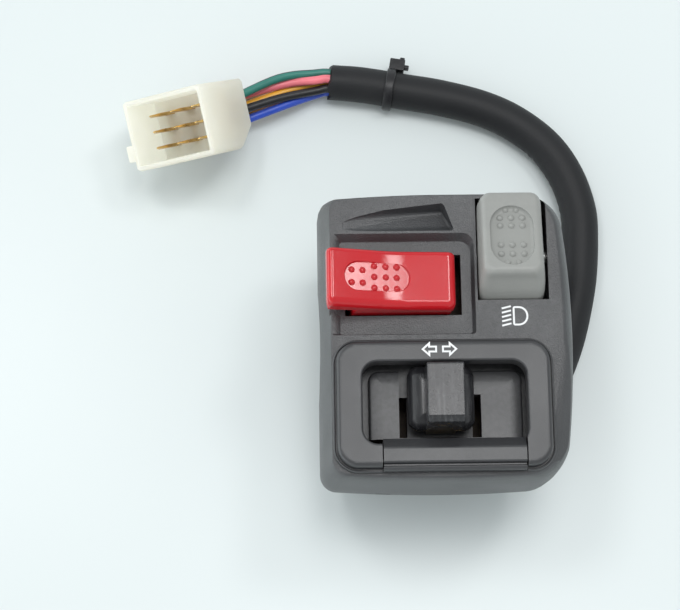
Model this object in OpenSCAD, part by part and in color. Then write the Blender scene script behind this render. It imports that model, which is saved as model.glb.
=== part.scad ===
// Handlebar switch cluster: two rockers, a turn slider, a horn bar and a sleeved harness.
// Millimetres. X runs along the handlebar, Y up the face, Z out of the face.
// The origin is on the handlebar axis.

/* [Handlebar] */
// Radius of the handlebar the two halves close on
bar_r = 11.1; // [10.5:0.05:12.7]

/* [Housing] */
// Widest reach of the housing to the left of centre
body_left = 27.6; // [26.8:0.1:29]
// Widest reach to the right of centre
body_right = 29.2; // [28.5:0.1:32]
// Widest reach above the handlebar axis
body_top = 31.3; // [31.2:0.1:34]
// Widest reach below the handlebar axis
body_low = 34.2; // [34:0.1:36]
// Height of the face above the handlebar axis
face_z = 30.5; // [29.5:0.1:33]
// Depth of the flat back below the handlebar axis
back_z = 20.5; // [19.5:0.1:24]
// Wall thickness of both halves
wall = 2.2; // [1.8:0.1:2.8]
// Thickness of the face plate
plate_t = 4; // [3.8:0.1:4.6]
// Gap left between the two halves when they are clamped
split_gap = 0.4; // [0.2:0.1:1]

/* [Red rocker] */
// Length of the red rocker
red_len = 29; // [27:0.1:30]
// Width of the red rocker
red_wide = 13.2; // [12:0.1:13.8]
// Full swing of the red rocker between its two positions
red_swing = 20; // [12:1:22]
// Depth of the panel that the red rocker stands in
panel_drop = 1.6; // [1:0.1:1.8]

/* [Grey rocker] */
// Length of the grey rocker along its top
grey_len = 18.7; // [18:0.1:19]
// Width of the grey rocker
grey_wide = 14.5; // [13:0.1:15]
// Full swing of the grey rocker between its two positions
grey_swing = 18; // [12:1:20]

/* [Turn switch] */
// Length of the bezel along the handlebar
bezel_len = 48.4; // [47:0.1:48.8]
// Height of the bezel up the face
bezel_high = 29.5; // [29:0.1:29.6]
// Length of the opening in the bezel
open_len = 35.8; // [34:0.1:36]
// Rise of the bezel above the face
bezel_rise = 3.5; // [2.8:0.1:4.5]
// Length of the knob skirt along the handlebar
knob_len = 14.6; // [13:0.1:15]
// Width of the knob ridge that the thumb pushes
ridge_w = 8.1; // [6:0.1:9]
// Travel of the knob to each side
turn_travel = 5; // [3:0.1:5]

/* [Horn bar] */
// Length of the horn bar
horn_len = 31; // [29:0.1:31.4]
// Swing of the horn bar when pressed
horn_swing = 12; // [6:1:12]

/* [Harness] */
// Radius of the cable sleeve
sleeve_r = 4.5; // [4:0.1:4.8]
// Radius of one insulated wire
wire_r = 1.05; // [0.9:0.05:1.08]

/* [Connector] */
// Width of the connector across three pins
plug_w = 17; // [16:0.1:18]
// Height of the connector across three rows
plug_h = 22; // [21:0.1:23]
// Length of the connector
plug_len = 22; // [21:0.1:24]
// Depth of the mouth around the pins
mouth_d = 13; // [12:0.1:14]

/* [Fits] */
// Gap around moving parts
play = 0.35; // [0.3:0.05:0.45]
// Radial play of a rocker on its pin
pin_play = 0.05; // [0.02:0.01:0.08]
// Radial play of a screw or pin in a fixed hole
hole_play = 0.02; // [0.01:0.01:0.05]

/* [Hidden] */
$fn = 40;

half_gap = split_gap / 2;
sliver = 0.02;
ceiling_z = face_z - plate_t;
panel_z = face_z - panel_drop;
pin_r = 1.25;
pivot_z = ceiling_z - 1.5;
lug_t = 2.4;
lug_w = 6;
top_h = 11;

// Corner radii of the plan: top left, low left, top right, low right
corner_tl = 3.6;
corner_bl = 3.6;
corner_tr = 10;
corner_br = 7;
// Bow of the right and low sides: how far the corners stay behind the middle of the side
right_bow_top = 1.2;
right_bow_low = 1.6;
low_bow = 0.9;
bow_r = 24;
belly_x = 1;
// Shallow round recess about the handlebar in the left end
recess_r = bar_r + 5.4;
recess_d = 1.2;

// Slices of the front half: height, then inset of left, right, top and low edge
front_slices = [
    [half_gap, 0.6, 3.7, 2.3, 3],
    [10, 0, 0.4, 0.2, 0.2],
    [face_z - 8.5, 1.2, 0, 0, 0],
    [face_z - 2, 2.3, 1.2, 0.6, 0.3],
    [face_z, 3, 2.6, 1.1, 0.7]
];
// Slices of the rear half, from the parting plane down to the flat back
rear_slices = [
    [-half_gap, 0.6, 3.7, 2.3, 3],
    [-9, 2.2, 5.7, 3.6, 4.5],
    [2.5 - back_z, 5.1, 8.7, 6.8, 9],
    [-back_z, 7.6, 11.2, 8.8, 11.5]
];

board_t = 1.6;
board_z = bar_r + 0.6;
board_top = board_z + board_t;
board_lo = [-23.5, -29.6];
board_hi = [23.2, 26];
post_at = [[-21, 23], [4.6, 23.5], [-20.5, -27.7], [18.4, -27.7]];
post_r = 2.5;
small_screw_r = 1.15;
small_head_r = 2.2;
small_head_h = 1.4;
board_screw_len = 7.5;
board_corner = 5;
rivet_head = 0.2;
rivet_r = 1.4;
rivet_shank = 0.8;
turn_rivet_y = -18;

clamp_y = 18.3;
clamp_seat = -7;
clamp_r = 2.45;
clamp_head_r = 4.4;
clamp_head_h = 2.8;
boss_r = 4.2;
boss_top = board_z - 0.2;
tower_r = 5.8;

red_tilt = red_swing / 2;
red_x = -13.1;
red_y = 10;
red_body_left = -7.5;
red_top_drop = 1.8;
red_valley = 0.5;
red_lip = 3.7;
red_chamfer = 0.8;
pocket_lean = 3.6;
pocket_deep = 0.85;
pocket_y = 0.3;
pocket_r = 3.4;
pocket_near = 6.4;
pocket_far = 14.6;
red_slot_left = -21.7;
red_slot_right = 4.2;
panel_lo = [-23.2, -1.7];
panel_hi = [6.8, 20.9];
// Lean of the panel walls: how much smaller the panel is at its floor
panel_draft_lo = [0.3, 0.3];
panel_draft_hi = [0.85, 1.6];

grey_tilt = grey_swing / 2;
grey_x = 15.3;
grey_y = 17.4;
grey_low_reach = 8.4;
grey_foot_top = 10.8;
grey_foot_z = 4.2;
grey_front_r = 12.3;
grey_front_z = 7.7;
grey_slot_r = grey_front_r + play;
grey_slot_top = grey_foot_top + 1.4;

stem_w = 7;
stem_low = -8;
body_low_z = -3;
plunger_r = 1.5;
plunger_bore = plunger_r + 0.08;
plunger_top = -5.9;
spring_top = -pin_r - 0.3;
spring_r = 1.15;
spring_wire = 0.25;
bridge_gap = 0.4;
bridge_t = 0.6;
bridge_len = 10.5;
bridge_w = 4;
bridge_tilt = 6;
bridge_seat_r = 0.9;
bridge_seat_play = 0.1;
post_w = 3;
post_drop = 0.62;
bridge_z = board_top + 1.25;
tip_z = bridge_z + bridge_t / 2 + bridge_gap;

horn_x = 1.5;
horn_gap = 0.2;
cheek_t = 1.3;

bezel_x = -0.55;
bezel_y = -17.75;
bezel_step = 1.5;
bezel_inset = 1.5;
bezel_r = 5.5;
open_x = -0.4;
open_top = -8.5;
open_low = -26.6;
open_r = 3.3;
bezel_z = face_z + bezel_rise;
floor_open_left = min(open_x - open_len / 2 - 1, horn_x - horn_len / 2 - horn_gap - cheek_t - 1.3);
floor_open_right = max(open_x + open_len / 2 + 1, horn_x + horn_len / 2 + horn_gap + cheek_t + 0.3);
floor_open_top = -7;
flange_left = floor_open_left - 2.3;
flange_right = floor_open_right + 3.8;
flange_top = -3.2;
flange_low = -24.8;
flange_t = 1.8;
pad_rise = 1.7;
floor_z = ceiling_z;
slot_lo = [-10.2, -24.4];
slot_hi = [7.8, -14.8];
floor_screw_x = floor_open_right + 1.9;
floor_screw_at = [[-14, -5.1], [12, -5.1], [floor_screw_x, -13], [floor_screw_x, -23]];

knob_x = -1.1;
knob_top = open_top - play;
knob_low = -23.1;
knob_y = (knob_top + knob_low) / 2;
knob_high = knob_top - knob_low;
ridge_lo = -22.5;
ridge_hi = -10.1;
ridge_x = 0.6;
knob_z = floor_z + pad_rise + 0.3;
ridge_z = bezel_z + 5.6;
knob_stem_x = 6.6;
knob_stem_lo = -23;
knob_stem_hi = -15.6;
slider_top = ceiling_z - flange_t - 0.4;
slider_h = 4.8;
slider_z = slider_top - slider_h;
slider_half = 7.2;
slider_lo = -23.6;
slider_hi = -9.8;
wiper_half = 4.6;
wiper_arm = 1.4;
wiper_lo = -18.6;
wiper_mid = -14.4;
wiper_hi = -11.4;
ball_r = 1.2;
ball_y = -11.8;
ball_z = slider_top - 0.35;

horn_top = -25.1;
horn_edge = -27.6;
horn_foot = -30.8;
horn_low = -32.4;
horn_pin_y = -29.6;
horn_pin_z = face_z - 2.2;
horn_pin_r = 1;
horn_base = horn_pin_z - 1.8;
horn_heel = 1.3;
floor_open_low = horn_pin_y - horn_heel - 2 * play;
horn_push_y = -26.5;
horn_push_z = board_top + 7.3;
leaf_t = 0.5;
leaf_w = 3;
leaf_left = horn_x - 10;
leaf_foot = 3;
push_half = 3;
push_t = 1;
horn_drop = (horn_push_y + push_t - horn_pin_y) * sin(horn_swing);
leaf_z = horn_push_z - leaf_t - horn_drop - 0.15;
horn_spring_x = horn_x + 8;
horn_spring_r = 1.2;
horn_spring_wire = 0.3;

gland_at = [20, -14, -14.2];
gland_turn = 38;
gland_r = sleeve_r + 1.1;
snout_r = gland_r + 0.2;
snout_in = 4;
snout_out = 3.2;
collar_r = snout_r + 0.8;
collar_t = 1.6;
collar_at = snout_out - 0.6;

// Route of the sleeve from the gland to its open end
sleeve_route = [
    [19, -15.3, -14.2], [22.5, -10.8, -14.3], [26.3, -5.5, -15.4], [29.6, 0, -16], [32, 5.7, -16],
    [34, 12, -16], [35.6, 18.6, -16], [36.8, 25.8, -16], [37.4, 33.5, -16], [37.2, 41.3, -16],
    [34.7, 49.9, -16], [29.8, 57.8, -16], [22.5, 64, -16], [13.9, 68.3, -16], [3.9, 71.1, -16],
    [-6.1, 73, -16], [-16.1, 74.8, -16], [-23.6, 75.5, -16]
];
sleeve_bore_r = 3.75;
sleeve_bore_len = 11;
tie_at = [-8.8, 73.5, -16];
tie_turn = 10;
tie_w = 2.2;
tie_head = 3.6;

// Where the connector lies: rear face centre and turn
plug_at = [-53.2, 64.27, -12.4];
plug_turn = [30.54, 18.63, -77.06];
plug_wall = 1.3;
// Slope that takes off one rear edge of the connector
heel_x = 2.7;
heel_z = 8;
pitch_x = 3.9;
pitch_y = 5.9;
blade_w = 2.8;
blade_t = 0.8;
blade_out = 9.5;
blade_tip = 2.4;
blade_end = 1;
wire_in = 4;

// Middle of the loose wires and the two ends of their run in the sleeve
wires_mid = [-36.5, 70.4, -15.2];
sleeve_end = sleeve_route[len(sleeve_route) - 1];
wires_inside = [-14.5, 74.6, -16];
wire_out = 1.2;

// Route of the middle inner lead, and how far its neighbours spread at each point
lead_r = 0.9;
lead_route = [[19, -15.3, -14.2], [17, -18, -14], [14.4, -20.8, -10.5], [13, -22, -4], [13, -22, 4],
    [13, -22, board_z]];
lead_spread = [[1.9, -1.5, 0], [2.2, -1.2, 0], [2.6, 0, 0], [2.6, 0, 0], [2.6, 0, 0], [2.6, 0, 0]];

function turn_x(p, a) = [p[0], p[1] * cos(a) - p[2] * sin(a), p[1] * sin(a) + p[2] * cos(a)];
function turn_y(p, a) = [p[0] * cos(a) + p[2] * sin(a), p[1], p[2] * cos(a) - p[0] * sin(a)];
function turn_z(p, a) = [p[0] * cos(a) - p[1] * sin(a), p[0] * sin(a) + p[1] * cos(a), p[2]];
function plug_point(p) = plug_at + turn_z(turn_y(turn_x(p, plug_turn[0]), plug_turn[1]), plug_turn[2]);

// Smooth line through hand-chosen points
function curve_at(p, i, t) =
    let (a = p[max(i - 1, 0)], b = p[i], c = p[i + 1], d = p[min(i + 2, len(p) - 1)])
    0.5 * (2 * b + (c - a) * t + (2 * a - 5 * b + 4 * c - d) * t * t
        + (3 * b - a - 3 * c + d) * t * t * t);
function smooth(p, n) = concat(
    [for (i = [0 : len(p) - 2]) for (s = [0 : n - 1]) curve_at(p, i, s / n)],
    [p[len(p) - 1]]);
function unit(v) = v / norm(v);
function heading(p, i) = unit(p[min(i + 1, len(p) - 1)] - p[max(i - 1, 0)]);
function square_to(v, t) = unit(v - (v * t) * t);

// Round tube along a line of points
module tube(path, r, sides, side = [0, 0, 1]) {
    count = len(path);
    normals = [for (i = 0, v = square_to(side, heading(path, 0)); i < count;
        i = i + 1, v = i < count ? square_to(v, heading(path, i)) : v) v];
    points = [for (i = [0 : count - 1]) for (k = [0 : sides - 1])
        let (t = heading(path, i), u = normals[i], w = cross(t, u), a = 360 * k / sides)
        path[i] + r * (cos(a) * u + sin(a) * w)];
    skin = [for (i = [0 : count - 2]) for (k = [0 : sides - 1]) for (half = [0, 1])
        let (k2 = (k + 1) % sides, a = i * sides, b = a + sides)
        half == 0 ? [a + k, b + k, b + k2] : [a + k, b + k2, a + k2]];
    start = [[for (k = [0 : sides - 1]) k]];
    finish = [[for (k = [sides - 1 : -1 : 0]) (count - 1) * sides + k]];
    polyhedron(points = points, faces = concat(start, skin, finish));
}

// Coil of round wire standing on the origin
module coil(r, wire, turns, high) {
    per_turn = 10;
    path = [for (i = [0 : turns * per_turn])
        let (a = 360 * i / per_turn, s = i / (turns * per_turn))
        [r * cos(a), r * sin(a), wire + s * (high - 2 * wire)]];
    tube(path, wire, 6);
}

// One slice of a half: four corner discs and one each for the bowed right and low sides
module slice(s, inset) {
    left = -body_left + s[1] + inset;
    right = body_right - s[2] - inset;
    top = body_top - s[3] - inset;
    low = -body_low + s[4] + inset;
    side_r = min(bow_r, (body_left + body_right - s[1] - s[2]) / 2 - corner_tl);
    translate([left + corner_tl - inset, top - corner_tl + inset, 0])
        cylinder(r = corner_tl - inset, h = sliver);
    translate([left + corner_bl - inset, low + low_bow + corner_bl - inset, 0])
        cylinder(r = corner_bl - inset, h = sliver);
    translate([right - right_bow_top - corner_tr + inset, top - corner_tr + inset, 0])
        cylinder(r = corner_tr - inset, h = sliver);
    translate([right - right_bow_low - corner_br + inset, low + low_bow + corner_br - inset, 0])
        cylinder(r = corner_br - inset, h = sliver);
    translate([right - side_r + inset, 0, 0])
        cylinder(r = side_r - inset, h = sliver);
    translate([belly_x, low + side_r - inset, 0])
        cylinder(r = side_r - inset, h = sliver);
}

// Box between two corners
module block(lo, hi) {
    translate(lo)
        cube(hi - lo);
}

// Rectangle with true round corners, standing on z
module pad(x0, x1, y0, y1, r, z0, z1) {
    translate([0, 0, z0])
        linear_extrude(z1 - z0)
            union() {
                translate([x0 + r, y0])
                    square([x1 - x0 - 2 * r, y1 - y0]);
                translate([x0, y0 + r])
                    square([x1 - x0, y1 - y0 - 2 * r]);
                for (x = [x0 + r, x1 - r])
                    for (y = [y0 + r, y1 - r])
                        translate([x, y])
                            circle(r = r);
            }
}

// Straight stadium, long way along x
module stadium(x0, x1, r, h) {
    translate([x0, 0, 0])
        cylinder(r = r, h = h);
    translate([x1, 0, 0])
        cylinder(r = r, h = h);
    translate([x0, -r, 0])
        cube([x1 - x0, 2 * r, h]);
}

module bar_hole() {
    translate([-body_left - 5, 0, 0])
        rotate([0, 90, 0])
            cylinder(r = bar_r, h = body_left + body_right + 10, $fn = 96);
    translate([-body_left - 5, 0, 0])
        rotate([0, 90, 0])
            cylinder(r = recess_r, h = 5 + recess_d, $fn = 96);
}

module at_red() {
    translate([red_x, red_y, pivot_z])
        children();
}

module at_grey() {
    translate([grey_x, grey_y, pivot_z])
        children();
}

module at_plug() {
    translate(plug_at)
        rotate(plug_turn)
            children();
}

module at_gland() {
    translate(gland_at)
        rotate([0, 0, -gland_turn])
            rotate([-90, 0, 0])
                children();
}

module front_shell() {
    difference() {
        hull()
            for (s = front_slices)
                translate([0, 0, s[0] - (s[0] == face_z ? sliver : 0)])
                    slice(s, 0);
        hull() {
            translate([0, 0, -1])
                slice(front_slices[0], wall);
            for (i = [1, 2])
                translate([0, 0, front_slices[i][0]])
                    slice(front_slices[i], wall);
            translate([0, 0, ceiling_z - sliver])
                slice(front_slices[3], wall);
        }
    }
}

// Lugs under the face plate that carry a rocker pin
module red_lugs() {
    for (s = [-1, 1])
        at_red()
            translate([-lug_w / 2, s * (red_wide / 2 + play + lug_t / 2) - lug_t / 2, -lug_w / 2])
                cube([lug_w, lug_t, ceiling_z - pivot_z + lug_w / 2 + 1]);
}

module grey_lugs() {
    for (s = [-1, 1])
        at_grey()
            translate([s * (grey_wide / 2 + play + lug_t / 2) - lug_t / 2, -lug_w / 2, -lug_w / 2])
                cube([lug_t, lug_w, ceiling_z - pivot_z + lug_w / 2 + 1]);
}

module red_pin_rod(r, extra) {
    at_red()
        rotate([90, 0, 0])
            cylinder(r = r, h = red_wide + 2 * (play + lug_t + extra), center = true);
}

module grey_pin_rod(r, extra) {
    at_grey()
        rotate([0, 90, 0])
            cylinder(r = r, h = grey_wide + 2 * (play + lug_t + extra), center = true);
}

// Thumb scoop: its floor falls from the left to a short end wall
module scoop() {
    scoop_left = -22.5;
    scoop_right = 1.2;
    scoop_low = 22.4;
    scoop_top = 28.6;
    scoop_nose = 4;
    scoop_deep = 2.6;
    scoop_lean = 0.6;
    hull() {
        block([scoop_left, scoop_low, face_z],
            [scoop_left + sliver, scoop_low + scoop_nose, face_z + 1]);
        block([scoop_right - sliver, scoop_low, face_z], [scoop_right, scoop_top, face_z + 1]);
        block([scoop_right - sliver, scoop_low + scoop_lean, face_z - scoop_deep],
            [scoop_right, scoop_top - scoop_lean, face_z]);
    }
}

// Recess that the red rocker stands in, with leaning walls and an open left side for its lip
module panel_recess() {
    half = red_wide / 2 + play;
    hull() {
        block([panel_lo[0], panel_lo[1], face_z], [panel_hi[0], panel_hi[1], face_z + 1]);
        block([panel_lo[0] + panel_draft_lo[0], panel_lo[1] + panel_draft_lo[1], panel_z],
            [panel_hi[0] - panel_draft_hi[0], panel_hi[1] - panel_draft_hi[1], face_z]);
    }
    block([-body_left, red_y - half, panel_z], [red_x, red_y + half, face_z + 1]);
    block([red_slot_left, red_y - half, ceiling_z - 1], [red_slot_right, red_y + half, face_z + 1]);
}

// Slot of the grey rocker: its low side is round about the pin, as the rocker's front is
module grey_slot() {
    half = grey_wide / 2 + play;
    side = half + 0.6;
    plate_lo = ceiling_z - pivot_z - 1;
    plate_hi = face_z - pivot_z + 1;
    at_grey() {
        intersection() {
            rotate([0, 90, 0])
                cylinder(r = grey_slot_r, h = 4 * half, center = true, $fn = 96);
            block([-half, -grey_slot_r - 1, plate_lo], [side, 0, plate_hi]);
        }
        block([-half, -1, plate_lo], [side, grey_slot_top, plate_hi]);
        block([-half, lug_w, -3], [half, grey_slot_top, plate_hi]);
    }
}

module front_housing() {
    color("DimGray")
    difference() {
        union() {
            front_shell();
            red_lugs();
            grey_lugs();
            for (p = post_at)
                translate([p[0], p[1], board_top])
                    cylinder(r = post_r, h = ceiling_z - board_top + 0.5);
            for (s = [-1, 1]) {
                translate([0, s * clamp_y, half_gap])
                    cylinder(r = boss_r, h = boss_top - half_gap);
                translate([-1.2, s > 0 ? clamp_y : -body_low + 4.2, half_gap])
                    cube([2.4, (s > 0 ? body_top : body_low) - 4.2 - clamp_y, boss_top - half_gap]);
            }
        }
        bar_hole();
        red_pin_rod(pin_r + hole_play, 1);
        grey_pin_rod(pin_r + hole_play, 1);
        panel_recess();
        grey_slot();
        block([floor_open_left, floor_open_low, ceiling_z - 1],
            [floor_open_right, floor_open_top, face_z + 1]);
        scoop();
        for (p = post_at)
            translate([p[0], p[1], board_top - 1])
                cylinder(r = small_screw_r + hole_play, h = board_screw_len + 1.5);
        for (p = floor_screw_at)
            translate([p[0], p[1], ceiling_z - 1])
                cylinder(r = small_screw_r + 0.1, h = plate_t + 2);
        for (s = [-1, 1])
            translate([0, s * clamp_y, -1])
                cylinder(r = clamp_r + hole_play, h = boss_top - 0.4);
        block([-15.1, -body_low - 1, 9], [-11.8, -body_low + 0.8, 11]);
    }
}

module rear_housing() {
    color("DarkSlateGray")
    difference() {
        union() {
            difference() {
                hull()
                    for (s = rear_slices)
                        translate([0, 0, s[0] - (s[0] < -back_z + 1 ? 0 : sliver)])
                            slice(s, 0);
                hull() {
                    translate([0, 0, 1])
                        slice(rear_slices[0], wall);
                    translate([0, 0, rear_slices[1][0]])
                        slice(rear_slices[1], wall);
                    translate([0, 0, wall - back_z])
                        slice(rear_slices[2], wall + 0.6);
                }
            }
            for (s = [-1, 1])
                translate([0, s * clamp_y, 1 - back_z])
                    cylinder(r = tower_r, h = back_z - 1 - half_gap);
            intersection() {
                at_gland()
                    translate([0, 0, -snout_in])
                        cylinder(r = snout_r + 1.2, h = snout_in + collar_at);
                block([0, -body_low, -back_z], [body_right, 0, 0]);
            }
        }
        bar_hole();
        for (s = [-1, 1])
            translate([0, s * clamp_y, 0]) {
                translate([0, 0, -back_z - 1])
                    cylinder(r = clamp_head_r + 0.4, h = back_z + 1 + clamp_seat);
                translate([0, 0, clamp_seat - 1])
                    cylinder(r = clamp_r + 0.2, h = 9);
            }
        at_gland() {
            translate([0, 0, -snout_in - 1])
                cylinder(r = snout_r, h = 20);
            translate([0, 0, -2 * snout_in])
                cylinder(r = sleeve_r, h = 2 * snout_in);
            translate([0, 0, collar_at])
                cylinder(r = collar_r + play, h = 20);
        }
    }
}

module clamp_screws() {
    color("Silver")
    for (s = [-1, 1])
        translate([0, s * clamp_y, clamp_seat]) {
            cylinder(r = clamp_r, h = boss_top - 2 - clamp_seat);
            difference() {
                translate([0, 0, -clamp_head_h])
                    cylinder(r = clamp_head_r, h = clamp_head_h);
                for (a = [0, 90])
                    rotate([0, 0, a])
                        translate([-2.6, -0.6, -clamp_head_h - 1])
                            cube([5.2, 1.2, 2.6]);
            }
        }
}

module turn_bezel() {
    x0 = bezel_x - bezel_len / 2;
    x1 = bezel_x + bezel_len / 2;
    y0 = bezel_y - bezel_high / 2;
    y1 = bezel_y + bezel_high / 2;
    n = bezel_inset;
    horn_x0 = horn_x - horn_len / 2 - horn_gap;
    horn_x1 = horn_x + horn_len / 2 + horn_gap;
    color("Black")
    difference() {
        union() {
            pad(x0, x1, y0, y1, bezel_r, face_z, face_z + bezel_step);
            pad(x0 + n / 2, x1 - n / 2, y0 + n / 2, y1 - n / 2, bezel_r - n / 2,
                face_z, bezel_z - 0.6);
            pad(x0 + n, x1 - n, y0 + n, y1 - n, bezel_r - n, face_z, bezel_z);
            block([horn_x0 - cheek_t - 1, horn_foot, horn_base], [horn_x0, horn_edge, face_z + 1]);
            block([horn_x1, horn_foot, horn_base], [horn_x1 + cheek_t, horn_edge, face_z + 1]);
        }
        pad(open_x - open_len / 2, open_x + open_len / 2, open_low, open_top, open_r,
            face_z - 1, bezel_z + 1);
        block([horn_x0, y0 - 1, horn_base - 1], [horn_x1, horn_top + 0.4, bezel_z + 1]);
        translate([horn_x - horn_len / 2 - 6, horn_pin_y, horn_pin_z])
            rotate([0, 90, 0])
                cylinder(r = horn_pin_r + hole_play, h = horn_len + 12);
        for (p = floor_screw_at)
            translate([p[0], p[1], face_z - 1])
                cylinder(r = small_screw_r + hole_play, h = 3.4);
    }
}

module slide_floor() {
    pad_left = [floor_open_left + 2.5, slot_lo[0] + 0.3];
    pad_right = [slot_hi[0] - 1.4, floor_open_right - 1.8];
    pad_low = slot_lo[1];
    pad_top = open_top - 0.7;
    color("Black")
    difference() {
        union() {
            block([flange_left, flange_low, ceiling_z - flange_t],
                [flange_right, flange_top, ceiling_z]);
            block([pad_left[0] + pad_rise, pad_low, floor_z - 0.5],
                [pad_left[1], pad_top, floor_z + pad_rise]);
            translate([pad_left[0] + pad_rise, pad_top, floor_z])
                rotate([90, 0, 0])
                    cylinder(r = pad_rise, h = pad_top - pad_low);
            block([pad_right[0], pad_low, floor_z - 0.5],
                [pad_right[1] - pad_rise, pad_top, floor_z + pad_rise]);
            translate([pad_right[1] - pad_rise, pad_top, floor_z])
                rotate([90, 0, 0])
                    cylinder(r = pad_rise, h = pad_top - pad_low);
        }
        block([slot_lo[0], slot_lo[1], ceiling_z - 5], [slot_hi[0], slot_hi[1], floor_z + 5]);
        for (p = floor_screw_at)
            translate([p[0], p[1], ceiling_z - flange_t - 1])
                cylinder(r = small_screw_r + 0.1, h = flange_t + 2);
        for (d = [-turn_travel, 0, turn_travel])
            translate([knob_x + d, ball_y, ceiling_z - flange_t + 0.5])
                sphere(r = ball_r + 0.3);
    }
}

module floor_screws() {
    color("Silver")
    for (p = floor_screw_at)
        translate([p[0], p[1], ceiling_z - flange_t]) {
            cylinder(r = small_screw_r, h = flange_t + plate_t + 2.2);
            translate([0, 0, -small_head_h])
                cylinder(r = small_head_r, h = small_head_h);
        }
}

module rivet_places() {
    for (d = [-1, 1]) {
        translate([red_x + d * (bridge_len / 2 - 1), red_y, 0])
            children();
        translate([grey_x, grey_y + d * (bridge_len / 2 - 1), 0])
            children();
    }
    for (d = [-turn_travel, 0, turn_travel])
        translate([knob_x + d, turn_rivet_y, 0])
            children();
}

module contact_board() {
    color("Peru")
    difference() {
        pad(board_lo[0], board_hi[0], board_lo[1], board_hi[1], board_corner, board_z, board_top);
        for (p = post_at)
            translate([p[0], p[1], board_z - 1])
                cylinder(r = small_screw_r + 0.1, h = board_t + 2);
        rivet_places()
            translate([0, 0, board_z - 1])
                cylinder(r = rivet_shank + hole_play, h = board_t + 2);
    }
}

module board_screws() {
    color("Silver")
    for (p = post_at)
        translate([p[0], p[1], board_z]) {
            cylinder(r = small_screw_r, h = board_screw_len);
            translate([0, 0, -small_head_h])
                cylinder(r = small_head_r, h = small_head_h);
        }
}

module contact_rivets() {
    color("Gold")
    rivet_places() {
        translate([0, 0, board_top])
            cylinder(r = rivet_r, h = rivet_head);
        translate([0, 0, board_z - rivet_head])
            cylinder(r = rivet_shank, h = board_t + 1.5 * rivet_head);
    }
}

module bridge_posts() {
    color("Gold")
    for (p = [[red_x, red_y, 0], [grey_x, grey_y, 90]])
        translate([p[0], p[1], 0])
            rotate([0, 0, p[2]])
                difference() {
                    translate([-post_w / 2, -post_w / 2, board_top])
                        cube([post_w, post_w, bridge_z - post_drop - board_top]);
                    translate([0, 0, bridge_z])
                        bridge_axle(bridge_seat_r + bridge_seat_play, 2 * post_w);
                }
}

// Dome bumps in rows: each row is an offset and the places along it
module bumps(places) {
    for (p = places)
        translate([p[0], p[1], -0.25])
            sphere(r = 0.85, $fn = 20);
}

red_bumps = [[-8.9, 1.45], [-8.9, -1.45], [-6.4, 1.4], [-6.4, -1.45], [-3.8, 2.4], [-3.8, 0], [-3.8, -2.5],
    [-1.2, 2.4], [-1.2, 0], [-1.2, -2.5], [1.3, 2.4], [1.3, 0], [1.3, -2.5]];
grey_bumps = [[-1.2, 6.6], [1.2, 6.6], [-2.4, 4.6], [0, 4.6], [2.4, 4.6], [-2.4, 2.7], [0, 2.7], [2.4, 2.7],
    [-2.4, -2], [0, -2], [2.4, -2], [-2.4, -4.2], [0, -4.2], [2.4, -4.2], [-1.2, -6.4], [1.2, -6.4]];

module rocker_stem() {
    block([-stem_w / 2, -stem_w / 2, stem_low], [stem_w / 2, stem_w / 2, 0]);
}

module plunger_hole() {
    translate([0, 0, stem_low - 1])
        cylinder(r = plunger_bore, h = spring_top - stem_low + 1);
}

// Floor of the thumb pocket, which leans so that it runs out towards the valley
module red_pocket_floor() {
    slope = atan(red_top_drop / (red_len / 2 + red_valley));
    start = pocket_near - pocket_r;
    translate([red_chamfer - red_len / 2, pocket_y, top_h])
        rotate([0, slope, 0])
            translate([start, 0, -pocket_deep])
                rotate([0, -pocket_lean, 0])
                    translate([-start, 0, 0])
                        children();
}

module red_rocker() {
    half = red_len / 2;
    color("Red")
    at_red()
        rotate([0, red_tilt, 0])
            difference() {
                union() {
                    difference() {
                        rotate([90, 0, 0])
                            linear_extrude(red_wide, center = true)
                                polygon([[-half, top_h - 0.6], [red_chamfer - half, top_h],
                                    [red_valley, top_h - red_top_drop], [half - red_chamfer, top_h],
                                    [half, top_h - red_chamfer], [half - 0.3, body_low_z],
                                    [red_body_left, body_low_z], [red_body_left, top_h - red_lip],
                                    [-half, top_h - red_lip]]);
                        red_pocket_floor()
                            stadium(pocket_near, pocket_far, pocket_r, 3);
                    }
                    red_pocket_floor()
                        translate([half - red_chamfer, 0, 0])
                            bumps(red_bumps);
                    rocker_stem();
                }
                rotate([90, 0, 0])
                    cylinder(r = pin_r + pin_play, h = red_wide + 2, center = true);
                plunger_hole();
            }
}

module red_pin() {
    color("Silver")
        red_pin_rod(pin_r, 0);
}

module plunger() {
    reach = tip_z - pivot_z;
    translate([0, 0, reach + plunger_r])
        cylinder(r = plunger_r, h = plunger_top - reach - plunger_r);
    translate([0, 0, reach + plunger_r])
        sphere(r = plunger_r);
}

module plunger_spring() {
    translate([0, 0, plunger_top])
        coil(spring_r, spring_wire, 4, spring_top - plunger_top);
}

module red_plunger() {
    color("Gainsboro")
    at_red()
        rotate([0, red_tilt, 0])
            plunger();
}

module red_spring() {
    color("Silver")
    at_red()
        rotate([0, red_tilt, 0])
            plunger_spring();
}

// Round bar across a rocking contact, on the axis it rocks about
module bridge_axle(r, long) {
    rotate([90, 0, 0])
        cylinder(r = r, h = long, center = true);
}

// Rocking contact: flat strip with a round rib that sits in the post
module bridge() {
    translate([-bridge_len / 2, -bridge_w / 2, -bridge_t / 2])
        cube([bridge_len, bridge_w, bridge_t]);
    intersection() {
        bridge_axle(bridge_seat_r, bridge_w);
        translate([-bridge_len / 2, -bridge_w, -bridge_len])
            cube([bridge_len, 2 * bridge_w, bridge_len]);
    }
}

module red_bridge() {
    color("Gold")
    translate([red_x, red_y, bridge_z])
        rotate([0, -bridge_tilt, 0])
            bridge();
}

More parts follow.
